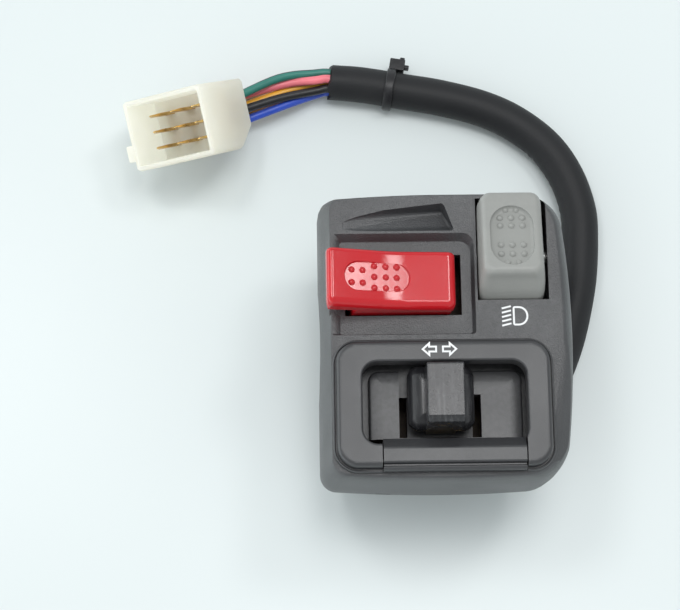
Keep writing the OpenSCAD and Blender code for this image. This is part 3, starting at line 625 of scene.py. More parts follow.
@dataclass(frozen=True)
class Finish:
    """How one kind of surface looks."""

    name: str
    colour: Colour
    toned: Colour
    worn: Colour
    rough: Point2
    grain: float
    grain_depth: float
    patch: float = 70.0
    wear: float = 0.5
    scratch: float = 0.0
    metal: float = 0.0
    level: float = 0.5
    under: float = 0.0
    through: float = 0.0
    stripe: Colour | None = None
    stripe_edge: Point2 = (0.87, 0.91)
    under_reach: Point3 = (0.003, 0.0028, 0.0022)

    def painted(self, tree: Tree, effects: Effects, patch: Socket) -> Socket:
        """Mixes the colour: patches, then a stripe, worn edges and scratches.

        Args:
            tree: The material's tree.
            effects: The shared effects.
            patch: Where the surface is toned.

        Returns:
            The colour's socket.
        """
        colour = tree.mixed(patch, self.colour, self.toned)
        if self.stripe:
            mark = tree.add("ShaderNodeAttribute", attribute_name="round_side")
            band = tree.ranged(mark.outputs["Fac"], self.stripe_edge)
            colour = tree.mixed(band, colour, self.stripe)
        wear = effects.use(tree, effects.wear, self.wear)
        colour = tree.mixed(wear, colour, self.worn)
        if self.scratch:
            mark = effects.use(tree, effects.scratches, effects.MARKS_PER_METRE)
            part = tree.ranged(mark, after=(0.0, self.scratch))
            colour = tree.mixed(part, colour, self.worn)
        return colour

    def made(self, effects: Effects) -> bpy.types.Material:
        """Builds the material.

        Args:
            effects: The shared effects.

        Returns:
            A material whose colour, roughness and bump all vary over the surface.
        """
        material = bpy.data.materials.new(self.name)
        material.use_nodes = True
        tree = Tree(material.node_tree)
        out = tree.add("ShaderNodeOutputMaterial")
        patch = effects.use(tree, effects.patches, self.patch)
        colour = self.painted(tree, effects, patch)
        height = effects.use(tree, effects.grain, self.grain)
        bump = tree.add(
            "ShaderNodeBump", Strength=1.0, Distance=self.grain_depth * MM, Height=height
        )
        shader = tree.add(
            "ShaderNodeBsdfPrincipled",
            Base_Color=colour,
            Roughness=tree.ranged(patch, after=self.rough),
            Normal=bump.outputs["Normal"],
            Metallic=self.metal,
            Specular_IOR_Level=self.level,
            Subsurface_Weight=self.under,
            Subsurface_Radius=self.under_reach,
            Subsurface_Scale=1.0,
        )
        surface = shader.outputs[0]
        if self.through:
            thin = tree.add("ShaderNodeBsdfTranslucent", Color=colour)
            surface = tree.blended(self.through, surface, thin.outputs[0])
        tree.link(surface, out.inputs[0])
        return material


class Paint:
    """All the finishes of the part, made once."""

    DARK = (0.03, 0.0305, 0.033)
    RUBBED = (0.13, 0.13, 0.135)
    STRIPE = (0.012, 0.012, 0.014)
    WIRES = (
        ("green", (0.03, 0.2, 0.16), STRIPE),
        ("pink", (0.86, 0.2, 0.24), None),
        ("orange", (0.88, 0.46, 0.05), None),
        ("black", (0.014, 0.014, 0.016), None),
        ("brown", (0.42, 0.22, 0.06), STRIPE),
        ("blue", (0.03, 0.08, 0.5), None),
        ("white", (0.5, 0.5, 0.48), STRIPE),
    )

    def __init__(self) -> None:
        """Makes each material."""
        fx = Effects()
        self.moulded = Finish(
            "moulded_black", (0.038, 0.039, 0.042), self.DARK, self.RUBBED,
            rough=(0.37, 0.43), grain=2600.0, grain_depth=0.05, wear=0.15, level=0.8,
        ).made(fx)
        self.satin = Finish(
            "satin_black", (0.033, 0.0335, 0.036), self.DARK, self.RUBBED,
            rough=(0.34, 0.4), grain=3500.0, grain_depth=0.01, wear=0.15, level=0.58,
        ).made(fx)
        self.polished = Finish(
            "polished_black", (0.01, 0.01, 0.012), (0.015, 0.015, 0.017), (0.14, 0.14, 0.145),
            rough=(0.24, 0.32), grain=3000.0, grain_depth=0.008, wear=0.3, scratch=0.35,
        ).made(fx)
        self.red = Finish(
            "gloss_red", (0.5, 0.008, 0.014), (0.47, 0.007, 0.013), (0.6, 0.06, 0.07),
            rough=(0.13, 0.18), grain=900.0, grain_depth=0.006, wear=0.2,
        ).made(fx)
        self.grey = Finish(
            "satin_grey", (0.268, 0.272, 0.258), (0.248, 0.252, 0.24), (0.4, 0.405, 0.39),
            rough=(0.4, 0.48), grain=2600.0, grain_depth=0.012, wear=0.3,
        ).made(fx)
        self.vinyl = Finish(
            "vinyl_black", (0.013, 0.0135, 0.015), (0.018, 0.0185, 0.02), (0.05, 0.05, 0.054),
            rough=(0.46, 0.56), grain=1800.0, grain_depth=0.02, patch=45.0, wear=0.2, level=0.25,
        ).made(fx)
        self.strap = Finish(
            "strap_black", (0.01, 0.01, 0.0115), (0.014, 0.014, 0.016), (0.06, 0.06, 0.064),
            rough=(0.3, 0.4), grain=2400.0, grain_depth=0.01, wear=0.25, level=0.35,
        ).made(fx)
        self.rubber = Finish(
            "grommet_black", (0.018, 0.018, 0.02), (0.026, 0.026, 0.028), (0.06, 0.06, 0.062),
            rough=(0.55, 0.7), grain=2200.0, grain_depth=0.03,
        ).made(fx)
        self.nylon = Finish(
            "natural_nylon", (0.95, 0.94, 0.885), (0.935, 0.92, 0.85), (0.96, 0.955, 0.92),
            rough=(0.38, 0.48), grain=1400.0, grain_depth=0.02, wear=0.2, under=0.4, through=0.65,
        ).made(fx)
        self.brass = Finish(
            "stamped_brass", (0.72, 0.5, 0.2), (0.6, 0.38, 0.13), (0.85, 0.66, 0.34),
            rough=(0.22, 0.36), grain=1500.0, grain_depth=0.01, patch=300.0, metal=1.0,
        ).made(fx)
        self.steel = Finish(
            "plated_steel", (0.6, 0.6, 0.58), (0.5, 0.5, 0.5), (0.75, 0.75, 0.74),
            rough=(0.25, 0.4), grain=2500.0, grain_depth=0.01, patch=200.0, metal=1.0,
        ).made(fx)
        self.board = Finish(
            "laminate_board", (0.05, 0.03, 0.016), (0.04, 0.024, 0.013), (0.09, 0.06, 0.035),
            rough=(0.5, 0.65), grain=2000.0, grain_depth=0.02,
        ).made(fx)
        self.acetal = Finish(
            "white_acetal", (0.72, 0.72, 0.69), (0.66, 0.66, 0.63), (0.8, 0.8, 0.78),
            rough=(0.35, 0.45), grain=2500.0, grain_depth=0.01,
        ).made(fx)
        self.printed = Finish(
            "printed_white", (0.84, 0.85, 0.86), (0.76, 0.77, 0.78), (0.84, 0.85, 0.86),
            rough=(0.5, 0.6), grain=3500.0, grain_depth=0.01, patch=500.0,
        ).made(fx)
        self.wires = {name: self.insulation(name, *colours).made(fx) for name, *colours in self.WIRES}

    @staticmethod
    def insulation(name: str, colour: Colour, stripe: Colour | None) -> Finish:
        """The finish of one wire.

        Args:
            name: The wire's colour in words.
            colour: Its colour.
            stripe: The colour of its stripe, if it has one.

        Returns:
            The finish, a little darker in patches and lighter where it is worn.
        """
        darker, lighter, lift = 0.82, 1.25, 0.02
        return Finish(
            f"insulation_{name}",
            colour,
            tuple(darker * c for c in colour),
            tuple(min(1.0, lighter * c + lift) for c in colour),
            rough=(0.3, 0.4), grain=2000.0, grain_depth=0.012, patch=160.0, stripe=stripe,
        )


@dataclass(frozen=True)
class Slice:
    """One level of a housing half: how far each side is drawn in."""

    z: float
    left: float
    right: float
    top: float
    low: float


@dataclass
class Housing:
    """The two halves that close on the handlebar."""

    left: float = 27.6
    right: float = 29.2
    top: float = 31.3
    low: float = 34.2
    radii: Radii = (3.6, 7.6, 7.4, 2.4)
    bow_top: float = 2.3
    bow_low: float = 2.7
    belly: float = 1.1
    brow: float = 1.4
    wall: float = 2.2
    bar_r: float = 11.1
    recess_r: float = 16.5
    recess_x: float = -26.4
    reach: float = 40.0
    face_z: float = 30.5
    back_z: float = -20.5
    corner_steps: int = 10
    side_cuts: int = 9
    front_slices: tuple[Slice, ...] = (
        Slice(0.2, 0.6, 3.7, 2.3, 3.0),
        Slice(3.0, 0.4, 2.7, 1.3, 2.0),
        Slice(6.0, 0.2, 1.6, 0.4, 1.0),
        Slice(10.0, 0.02, 0.5, -0.3, 0.25),
        Slice(15.0, 0.25, 0.1, -0.4, 0.02),
        Slice(20.0, 0.75, 0.0, -0.25, 0.0),
        Slice(24.5, 1.55, 0.15, 0.06, 0.05),
        Slice(27.5, 2.15, 0.75, 0.28, 0.15),
        Slice(29.0, 2.45, 1.4, 0.46, 0.32),
        Slice(29.9, 2.63, 2.0, 0.6, 0.5),
        Slice(30.35, 2.74, 2.5, 0.72, 0.75),
        Slice(30.5, 2.95, 3.0, 0.92, 1.1),
    )
    rear_slices: tuple[Slice, ...] = (
        Slice(-0.2, 0.6, 3.7, 2.3, 3.0),
        Slice(-4.0, 1.25, 4.4, 2.7, 3.5),
        Slice(-9.0, 2.2, 5.7, 3.6, 4.5),
        Slice(-14.0, 3.7, 7.2, 5.2, 6.7),
        Slice(-18.0, 5.2, 8.9, 6.9, 9.1),
        Slice(-19.6, 6.3, 10.0, 7.8, 10.3),
        Slice(-20.3, 7.3, 11.0, 8.7, 11.3),
        Slice(-20.5, 8.0, 11.8, 9.4, 12.1),
    )
    front_room: int = 8
    rear_room: int = 5
    scoop_rim: tuple[Point2, ...] = (
        (-22.5, 22.0), (-22.5, 24.8), (-14.0, 26.9), (3.0, 22.0), (0.6, 28.6)
    )
    scoop_end: tuple[Point3, ...] = ((2.3, 23.4, 28.5), (0.3, 27.5, 26.9))
    panel_top: Rect = Rect(-24.6, 7.15, -1.7, 21.6, (0.5, 0.8, 2.6, 0.8))
    panel_low: Rect = Rect(-22.9, 6.5, -1.4, 20.2, (0.5, 0.8, 2.6, 0.8))
    panel_deep: float = 1.6
    red_slot: Box = ((-21.7, 3.05, 20.0), (4.2, 16.95, 40.0))
    lip_way: Box = ((-30.0, 3.05, 28.9), (-13.1, 16.95, 40.0))
    grey_axis: Point3 = (7.7, 17.4, 25.0)
    grey_r: float = 12.65
    grey_wide: float = 15.8
    grey_low: Box = ((0, 0, 25.5), (30, 17.4, 40))
    grey_top: Box = ((7.7, 17.0, 20.0), (23.5, 29.6, 40.0))
    switch_way: Box = ((-19.3, -31.6, 20.0), (18.8, -7.0, 40.0))
    notch: Box = ((-15.1, -36.0, 9.0), (-11.8, -33.3, 11.0))
    fall: Box = ((0.0, -22.0, 0.0), (20.0, 26.0, 20.0))
    fall_at: Point3 = (24.3, -16.5, 30.5)
    fall_turn: float = -8.8
    fall_slope: float = 36.0
    screw_y: float = 18.3
    tower_r: float = 5.8
    tower_high: float = 19.8
    well_r: float = 4.8
    well_deep: float = 14.5
    screw_way: float = 2.65

    def level(self, at: Slice, inset: float = 0.0) -> Rect:
        """The outline of one slice, drawn in by a wall."""
        low, top = at.low - self.low, self.top - at.top
        return Rect(at.left - self.left, self.right - at.right, low, top, self.radii).inset(inset)

    def bowed(self, ring: Edges) -> None:
        """Bows the right, the low and the top side of one outline.

        Args:
            ring: The edges of the outline.
        """
        for v in {v for e in ring for v in e.verts}:
            across = (v.co.x + self.left) / (self.left + self.right)
            if v.co.y > 0:
                back = self.bow_top * (v.co.y / self.top) ** 2
            else:
                back = self.bow_low * (v.co.y / self.low) ** 2
            down = (self.top - v.co.y) / (self.top + self.low)
            v.co.y += self.belly * ((v.co.x - 1) / self.left) ** 2 * down
            rise = max(v.co.z / self.face_z, 0)
            lean = self.brow * (4 * rise * (1 - rise) - rise**3)
            v.co.y += lean * (min(v.co.x, 0) / self.left) ** 2 * (1 - down)
            v.co.x -= back * across

    def stack(
        self, slices: Sequence[Slice], inset: float, shift: Callable[[float], float]
    ) -> Form:
        """Lofts slices into a closed form.

        Args:
            slices: The levels in order.
            inset: How far they are drawn in.
            shift: Changes each level's height.

        Returns:
            The form.
        """
        form = Form()
        rings = [
            form.ring(self.level(s, inset), shift(s.z), self.corner_steps, self.side_cuts)
            for s in slices
        ]
        for ring in rings:
            self.bowed(ring)
        return form.skin(rings)

    def bore(self) -> list[Form]:
        """The round way for the handlebar and the recess about it in the left end."""
        start = moved(-self.reach, 0, 0) @ turned(90, "Y")
        sizes = ((self.bar_r, 2 * self.reach), (self.recess_r, self.reach + self.recess_x))
        return [Form().rod(radius, length, start, 96) for radius, length in sizes]

    def scoop(self) -> Form:
        """The thumb scoop, whose floor falls to a short end wall."""
        form = Form()
        levels = (self.face_z, self.face_z + 2.0)
        points = [(x, y, z) for z in levels for x, y in self.scoop_rim]
        corners = [form.bm.verts.new(p) for p in (*points, *self.scoop_end)]
        bmesh.ops.convex_hull(form.bm, input=corners)
        return form.simplified(0.02).soften(0.7, 5, 25.0)

    def panel(self) -> Form:
        """The recess of the red rocker, with leaning walls."""
        form = Form()
        floor = self.face_z - self.panel_deep
        low, top = self.panel_low, self.panel_top
        levels = (
            (low.inset(0.3), floor),
            (low.inset(0.05), floor + 0.1),
            (low.inset(-0.1), floor + 0.3),
            (top, self.face_z),
            (top.inset(-0.1), self.face_z + 1),
        )
        return form.skin([form.ring(rect, z, 8) for rect, z in levels])

    def grey_slot(self) -> Form:
        """The slot of the grey rocker, round below as the rocker's front is."""
        axis = moved(*self.grey_axis) @ turned(90, "Y")
        low = Form().rod(self.grey_r, self.grey_wide, axis, 128)
        return low.worked(Form().block(*self.grey_low), how=Cut.KEEP)

    def front(self, paint: Paint) -> bpy.types.Object:
        """Builds the front half with its panel, slots and scoop."""
        shell = self.stack(self.front_slices, 0.0, lambda z: z)
        inner = self.front_slices[: self.front_room]
        room = self.stack(inner, self.wall, lambda z: -1.0 if z < 1 else z * 0.964)
        fall = Form().block(*self.fall)
        fall.place(
            moved(*self.fall_at) @ turned(self.fall_turn, "Z") @ turned(self.fall_slope, "Y")
        )
        shell.worked(
            room,
            *self.bore(),
            self.scoop(),
            self.panel(),
            Form().block(*self.red_slot),
            Form().block(*self.lip_way),
            self.grey_slot(),
            Form().block(*self.grey_top),
            Form().block(*self.switch_way),
            Form().block(*self.notch),
            fall,
        )
        shell.soften(0.28, 3)
        return finished(
            shell, "front_shell", paint.moulded, Body.HOUSING, ["front_housing"]
        )

    def rear(self, paint: Paint) -> bpy.types.Object:
        """Builds the rear half with its screw wells and cable way."""
        shell = self.stack(self.rear_slices, 0.0, lambda z: z)
        inner = self.rear_slices[: self.rear_room]
        shell.worked(self.stack(inner, self.wall, lambda z: 1.0 if z > -1 else z * 0.99))
        towers = []
        wells = []
        for y in (-self.screw_y, self.screw_y):
            towers.append(Form().rod(self.tower_r, self.tower_high, moved(0, y, self.back_z + 0.5)))
            deep = moved(0, y, self.back_z - 1)
            wells.append(Form().rod(self.well_r, self.well_deep, deep))
            wells.append(Form().rod(self.screw_way, 24.0, deep))
        gland = Gland()
        snout = Form().rod(gland.way + 1.2, 6.6, gland.frame() @ moved(0, 0, -4.0))
        quarter = Form().block((0, -self.low, self.back_z), (self.right, 0, 0))
        snout.worked(quarter, how=Cut.KEEP)
        shell.worked(*towers, snout, how=Cut.ADD)
        way = Form().rod(gland.way, 20.0, gland.frame() @ moved(0, 0, -5))
        shell.worked(*self.bore(), *wells, way)
        shell.soften(0.3, 3)
        return finished(
            shell, "rear_shell", paint.moulded, Body.HOUSING, ["rear_housing"]
        )


@dataclass
class Gland:
    """The rubber grommet where the cable leaves the rear half."""

    at: Point3 = (20.0, -14.0, -14.2)
    turn: float = 38.0
    way: float = 5.8
    bore: float = 4.52

    def frame(self) -> Matrix:
        """The grommet's own frame, Z along the cable."""
        return moved(*self.at) @ turned(-self.turn, "Z") @ turned(-90, "X")

    def build(self, paint: Paint) -> bpy.types.Object:
        """Turns the grommet: plain inside, a soft collar outside."""
        line = (
            (self.bore, -4.0), (self.way, -4.0), (self.way, 2.5), (self.way + 0.6, 2.55),
            (self.way + 0.8, 2.8), (self.way + 0.8, 3.6), (self.way + 0.5, 4.0),
            (self.bore + 0.4, 4.2), (self.bore, 4.0),
        )
        form = Form().lathed(line).place(self.frame())
        return finished(
            form, "cable_grommet", paint.rubber, Body.HOUSING, ["cable_gland"]
        )


@dataclass
class TurnSwitch:
    """The turn bezel, its floor, the sliding knob, the horn bar and its spring."""

    bezel: Rect = Rect(-24.75, 23.65, -32.5, -3.0, (5.5, 5.5, 5.5, 5.5))
    opening: Rect = Rect(-18.3, 17.5, -26.6, -8.5, (3.3, 3.3, 3.3, 3.3))
    steps: int = 10
    outer_line: tuple[Point2, ...] = (
        (0.0, 30.3), (0.0, 31.2), (0.08, 31.5), (0.25, 31.62), (0.48, 31.55), (0.56, 31.1),
        (0.78, 31.1), (0.84, 31.8), (0.9, 33.0), (1.0, 33.45), (1.25, 33.8), (1.7, 33.96),
        (2.2, 34.0),
    )
    inner_line: tuple[Point2, ...] = (
        (-0.6, 34.0), (-0.25, 33.93), (-0.06, 33.72), (0.0, 33.4), (0.0, 30.3)
    )
    cheek_y: Point2 = (-30.8, -27.6)
    cheek_z: Point2 = (26.5, 31.5)
    cheek_wide: Point2 = (2.3, 1.3)
    tray: Box = ((-21.6, -24.8, 24.7), (22.6, -3.2, 25.3))
    pads: tuple[Rect, ...] = (
        Rect(-16.8, -2.0, -30.0, -9.2, (2.0, 2.0, 2.2, 2.2)),
        Rect(1.0, 17.0, -30.0, -9.2, (2.0, 2.0, 2.2, 2.2)),
    )
    pad_line: tuple[Point2, ...] = (
        (0.0, 24.9), (0.0, 27.0), (0.08, 27.35), (0.25, 27.55), (0.5, 27.68), (1.2, 27.8),
        (2.0, 27.94), (2.5, 28.02), (3.0, 28.07), (4.2, 28.12),
    )
    stem_way: Box = ((-10.2, -24.4, 20.0), (7.8, -14.8, 40.0))
    pad_step: Box = ((-10.15, -15.0, 25.4), (0.5, -5.0, 40.0))
    front_trim: Box = ((-30.0, -40.0, 20.0), (30.0, -24.6, 40.0))
    knob: Rect = Rect(-8.4, 6.2, -23.1, -8.85, (2.5, 2.5, 2.5, 2.5))
    knob_line: tuple[Point2, ...] = (
        (0.35, 28.5), (0.05, 28.65), (0.0, 29.0), (0.0, 29.9), (0.15, 30.5), (0.6, 31.2),
        (1.3, 31.9), (2.2, 32.4), (3.0, 32.7), (3.6, 32.8),
    )
    ridge_x: float = -0.5
    ridge_w: float = 8.1
    ridge_line: tuple[Point2, ...] = (
        (-23.2, 30.0), (-9.4, 30.0), (-10.0, 39.6), (-21.9, 39.6), (-22.95, 38.3)
    )
    ridge_rounding: tuple[float, ...] = (0, 0, 0.5, 0.3, 0.3)
    stem: Box = ((-4.4, -23.0, 24.3), (2.2, -15.6, 29.5))
    bar_x: Point2 = (-14.0, 17.0)
    bar_gap: float = 0.2
    bar_top: float = -25.1
    bar_line: tuple[Point2, ...] = (
        (-25.1, 31.5), (-27.55, 34.0), (-30.75, 34.0), (-31.0, 32.9), (-31.45, 32.9),
        (-31.6, 33.45), (-32.4, 33.1), (-32.4, 31.0), (-30.9, 31.0), (-30.9, 26.5),
        (-25.3, 26.5), (-25.3, 30.1),
    )
    bar_rounding: tuple[float, ...] = (0.2, 0.35, 0.35, 0.1, 0.1, 0.2, 0.35)
    push: Box = ((-1.5, -27.5, 20.6), (4.5, -25.5, 27.5))
    spring_foot: Point3 = (9.5, -26.5, 13.3)
    spring_high: float = 13.2
    spring_r: float = 1.2
    spring_wire: float = 0.3
    spring_turns: int = 7
    spring_steps: int = 16
    spring_sides: int = 8

    def frame_piece(self, paint: Paint) -> bpy.types.Object:
        """Builds the stepped bezel frame, open below for the bar."""
        form = Form()
        rings = [
            form.ring(rect.inset(i), z, self.steps)
            for rect, line in ((self.bezel, self.outer_line), (self.opening, self.inner_line))
            for i, z in line
        ]
        form.skin(rings, capped=False)
        left, right = self.bar_x[0] - self.bar_gap, self.bar_x[1] + self.bar_gap
        slot = Form().block((left, -40.0, 20.0), (right, self.bar_top + 0.4, 40.0))
        form.worked(slot).soften(0.12, 2, 60.0)
        (low, top), (foot, high) = self.cheek_y, self.cheek_z
        cheeks = Form().block((left - self.cheek_wide[0], low, foot), (left, top, high))
        cheeks.block((right, low, foot), (right + self.cheek_wide[1], top, high))
        form.join(cheeks.soften(0.2, 2))
        return finished(
            form, "bezel_frame", paint.satin, Body.HOUSING, ["turn_bezel"]
        )

    def floor_piece(self, paint: Paint) -> bpy.types.Object:
        """Builds the floor with its two pads and the slot between them."""
        floor = Form().block(*self.tray)
        pads = [Form().drawn(rect, self.pad_line, 6) for rect in self.pads]
        cuts = [Form().block(*box) for box in (self.stem_way, self.pad_step, self.front_trim)]
        floor.worked(*pads, how=Cut.ADD).worked(*cuts).soften(0.12, 2, 60.0)
        return finished(
            floor, "slide_tray", paint.satin, Body.HOUSING, ["slide_floor"]
        )

    def knob_piece(self, paint: Paint) -> bpy.types.Object:
        """Builds the sliding knob: a rounded skirt and a rubbed ridge."""
        form = Form().drawn(self.knob, self.knob_line, 8)
        ridge = Form().prism(self.ridge_line, self.ridge_w, self.ridge_rounding)
        ridge.soften(0.35, 3, 50.0).place(upended(self.ridge_x))
        stem = Form().block(*self.stem).soften(0.2, 2)
        form.join(ridge, stem)
        return finished(
            form, "turn_thumb", paint.polished, Body.KNOB, ["turn_knob"]
        )

    def bar_piece(self, paint: Paint) -> bpy.types.Object:
        """Builds the long bar: sloped back, flat face, groove and lip."""
        start, end = self.bar_x
        form = Form().prism(self.bar_line, end - start, self.bar_rounding, 3)
        form.soften(0.12, 2, 70.0).place(upended((start + end) / 2))
        form.join(Form().block(*self.push).soften(0.2, 2))
        return finished(form, "horn_push", paint.satin, Body.HORN, ["horn_bar"])

    def spring_piece(self, paint: Paint) -> bpy.types.Object:
        """Builds the coil under the bar."""
        form = Form()
        foot, wire = Vector(self.spring_foot), self.spring_wire
        count = self.spring_turns * self.spring_steps
        rise = (self.spring_high - 2 * wire) / count
        rings = []
        for i in range(count + 1):
            angle = math.tau * i / self.spring_steps
            spot = Vector((math.cos(angle), math.sin(angle), 0.0)) * self.spring_r
            along = Vector((-spot.y, spot.x, rise * self.spring_steps / math.tau))
            ahead = along.to_track_quat("Z", "Y").to_matrix().to_4x4()
            spot.z = wire + rise * i
            rings.append(form.circle(wire, moved(*(foot + spot)) @ ahead, self.spring_sides))
        form.skin(rings)
        obj = finished(form, "bar_spring", paint.steel, Body.HOUSING, ["horn_spring"])
        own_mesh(obj)
        return obj

    def build(self, paint: Paint) -> None:
        """Builds the five pieces."""
        self.frame_piece(paint)
        self.floor_piece(paint)
        self.knob_piece(paint)
        self.bar_piece(paint)
        self.spring_piece(paint)


@dataclass
class RedRocker:
    """The glossy red rocker, left end up."""

    pivot: Point3 = (-13.1, 10.0, 25.0)
    tilt: float = 10.0
    half: float = 14.5
    wide: float = 13.2
    top: float = 11.0
    drop: float = 1.8
    valley: float = 0.5
    foot: float = -3.0
    lip: float = 3.7
    lip_x: float = -7.5
    rounding: tuple[float, ...] = (1.3, 3.0, 2.0, 0.4, 0.4, 0.5, 1.1)
    rolls: Point2 = (1.9, 1.1)
    roll_steps: int = 6
    roll_high: Point2 = (5.0, 3.0)
    end_long: float = 2.5
    end_pull: float = 0.5
    pocket: tuple[float, float, float] = (6.4, 14.6, 3.4)
    pocket_y: float = 0.3
    pocket_x: float = 0.8
    pocket_deep: float = 0.85
    pocket_tilt: float = -4.5
    pocket_line: tuple[Point2, ...] = ((0.25, 0.0), (0.0, 0.3), (0.0, 3.0))
    stem: Box = ((-3.5, -3.5, -8.0), (3.5, 3.5, 0.0))
    dots: tuple[Point2, ...] = (
        (-8.9, 1.45), (-8.9, -1.45), (-6.4, 1.4), (-6.4, -1.45),
        (-3.8, 2.4), (-3.8, 0.0), (-3.8, -2.5), (-1.2, 2.4), (-1.2, 0.0),
        (-1.2, -2.5), (1.3, 2.4), (1.3, 0.0), (1.3, -2.5),
    )

    def pillow(self, form: Form) -> None:
        """Rolls the long edges of the top over to the sides.

        Args:
            form: The plain prism, which lies with its width along Z.
        """
        half, cuts = self.wide / 2, 2 * self.roll_steps + 2
        along = [e for e in form.bm.edges if abs(e.verts[0].co.z - e.verts[1].co.z) > half]
        bmesh.ops.subdivide_edges(form.bm, edges=along, cuts=cuts, use_grid_fill=True)
        flat = 3 / (cuts + 1)
        below, over = self.roll_high
        for v in form.bm.verts:
            side = abs(v.co.z) / half
            roll = self.rolls[0 if v.co.z > 0 else 1]
            turn = max(side - flat, 0) / (1 - flat) * math.pi / 2
            if turn or side > 0.9 * flat:
                out = half - roll * (1 - math.sin(turn))
                v.co.z = math.copysign(out, v.co.z)
            sink = roll * (1 - math.cos(turn))
            rise = min(max((v.co.y - self.top + below) / over, 0), 1)
            end = min(max(abs(v.co.x) - self.half + self.end_long, 0) / self.end_long, 1)
            v.co.y -= sink * rise
            v.co.x -= math.copysign(self.end_pull * sink * rise * end, v.co.x)

    def build(self, paint: Paint) -> bpy.types.Object:
        """Builds the rocker with its fading pocket and dots."""
        outline = (
            (-self.half, self.top - 0.1),
            (self.valley, self.top - self.drop),
            (self.half, self.top - 0.2),
            (self.half - 0.3, self.foot),
            (self.lip_x, self.foot),
            (self.lip_x, self.top - self.lip),
            (-self.half, self.top - self.lip),
        )
        form = Form().prism(outline, self.wide, self.rounding, 6)
        self.pillow(form)
        form.place(turned(90, "X"))
        slope = math.atan(self.drop / (self.half + self.valley))
        start = moved(self.pocket_x - self.half, self.pocket_y, self.top)
        near, far, radius = self.pocket
        shape = Rect(near - radius, far + radius, -radius, radius, (radius - 0.02,) * 4)
        floor = (
            start
            @ Matrix.Rotation(slope, 4, "Y")
            @ moved(near - radius, 0, -self.pocket_deep)
            @ turned(self.pocket_tilt, "Y")
        )
        cut = Form().drawn(shape, self.pocket_line, 10)
        cut.place(floor @ moved(radius - near, 0, 0))
        form.worked(cut).soften(0.1, 2, 35.0)
        dots = Form().domes(self.dots, 0.85, 0.38)
        dots.place(floor @ moved(radius - near + self.half - self.pocket_x, 0, 0))
        form.join(dots, Form().block(*self.stem))
        form.place(moved(*self.pivot) @ turned(self.tilt, "Y"))
        return finished(form, "red_cap", paint.red, Body.RED, ["red_rocker"])


@dataclass
class GreyRocker:
    """The satin grey rocker, lower end up. Its levels hold z, half width, low, top and radius."""

    pivot: Point3 = (15.3, 17.4, 25.0)
    tilt: float = -9.0
    levels: tuple[tuple[float, float, float, float, float], ...] = (
        (-3.0, 7.0, -11.9, 10.2, 1.6),
        (0.0, 7.05, -12.25, 10.4, 1.6),
        (2.4, 7.2, -12.05, 10.7, 1.7),
        (4.4, 7.3, -11.45, 10.9, 1.8),
        (6.2, 7.25, -10.6, 11.0, 1.9),
        (7.7, 7.1, -9.55, 11.1, 2.0),
        (9.3, 6.85, -9.0, 11.2, 2.2),
        (10.2, 6.6, -8.75, 11.1, 2.2),
        (10.75, 6.15, -8.3, 10.7, 2.1),
        (11.0, 5.5, -7.6, 10.1, 1.9),
    )
    pocket: Point2 = (4.8, 7.2)
    pocket_y: float = 0.3
    pocket_z: float = 10.0
    pocket_line: tuple[Point2, ...] = ((0.9, 10.0), (0.3, 10.2), (0.0, 10.6), (-0.1, 14.0))
    stem: Box = ((-3.5, -3.5, -8.0), (3.5, 3.5, 0.0))
    dots: tuple[Point2, ...] = (
        (-1.2, 6.9), (1.2, 6.9), (-2.5, 4.9), (0.0, 4.9), (2.5, 4.9),
        (-2.5, 3.0), (0.0, 3.0), (2.5, 3.0), (-2.5, -1.7), (0.0, -1.7),
        (2.5, -1.7), (-2.5, -3.9), (0.0, -3.9), (2.5, -3.9), (-1.2, -6.1), (1.2, -6.1),
    )

    def build(self, paint: Paint) -> bpy.types.Object:
        """Builds the rocker with its dished pocket and dots."""
        form = Form()
        rings = [
            form.ring(Rect(-x, x, low, top, (r,) * 4), z, 8) for z, x, low, top, r in self.levels
        ]
        form.skin(rings)
        wide, long = self.pocket
        low, top = self.pocket_y - long, self.pocket_y + long
        cut = Form().drawn(Rect(-wide, wide, low, top, (wide - 0.02,) * 4), self.pocket_line, 12)
        form.worked(cut).soften(0.15, 2, 38.0)
        dots = Form().domes(self.dots, 0.85, 0.35).place(moved(0, 0, self.pocket_z))
        form.join(dots, Form().block(*self.stem))
        form.place(moved(*self.pivot) @ turned(self.tilt, "X"))
        return finished(form, "grey_cap", paint.grey, Body.GREY, ["grey_rocker"])


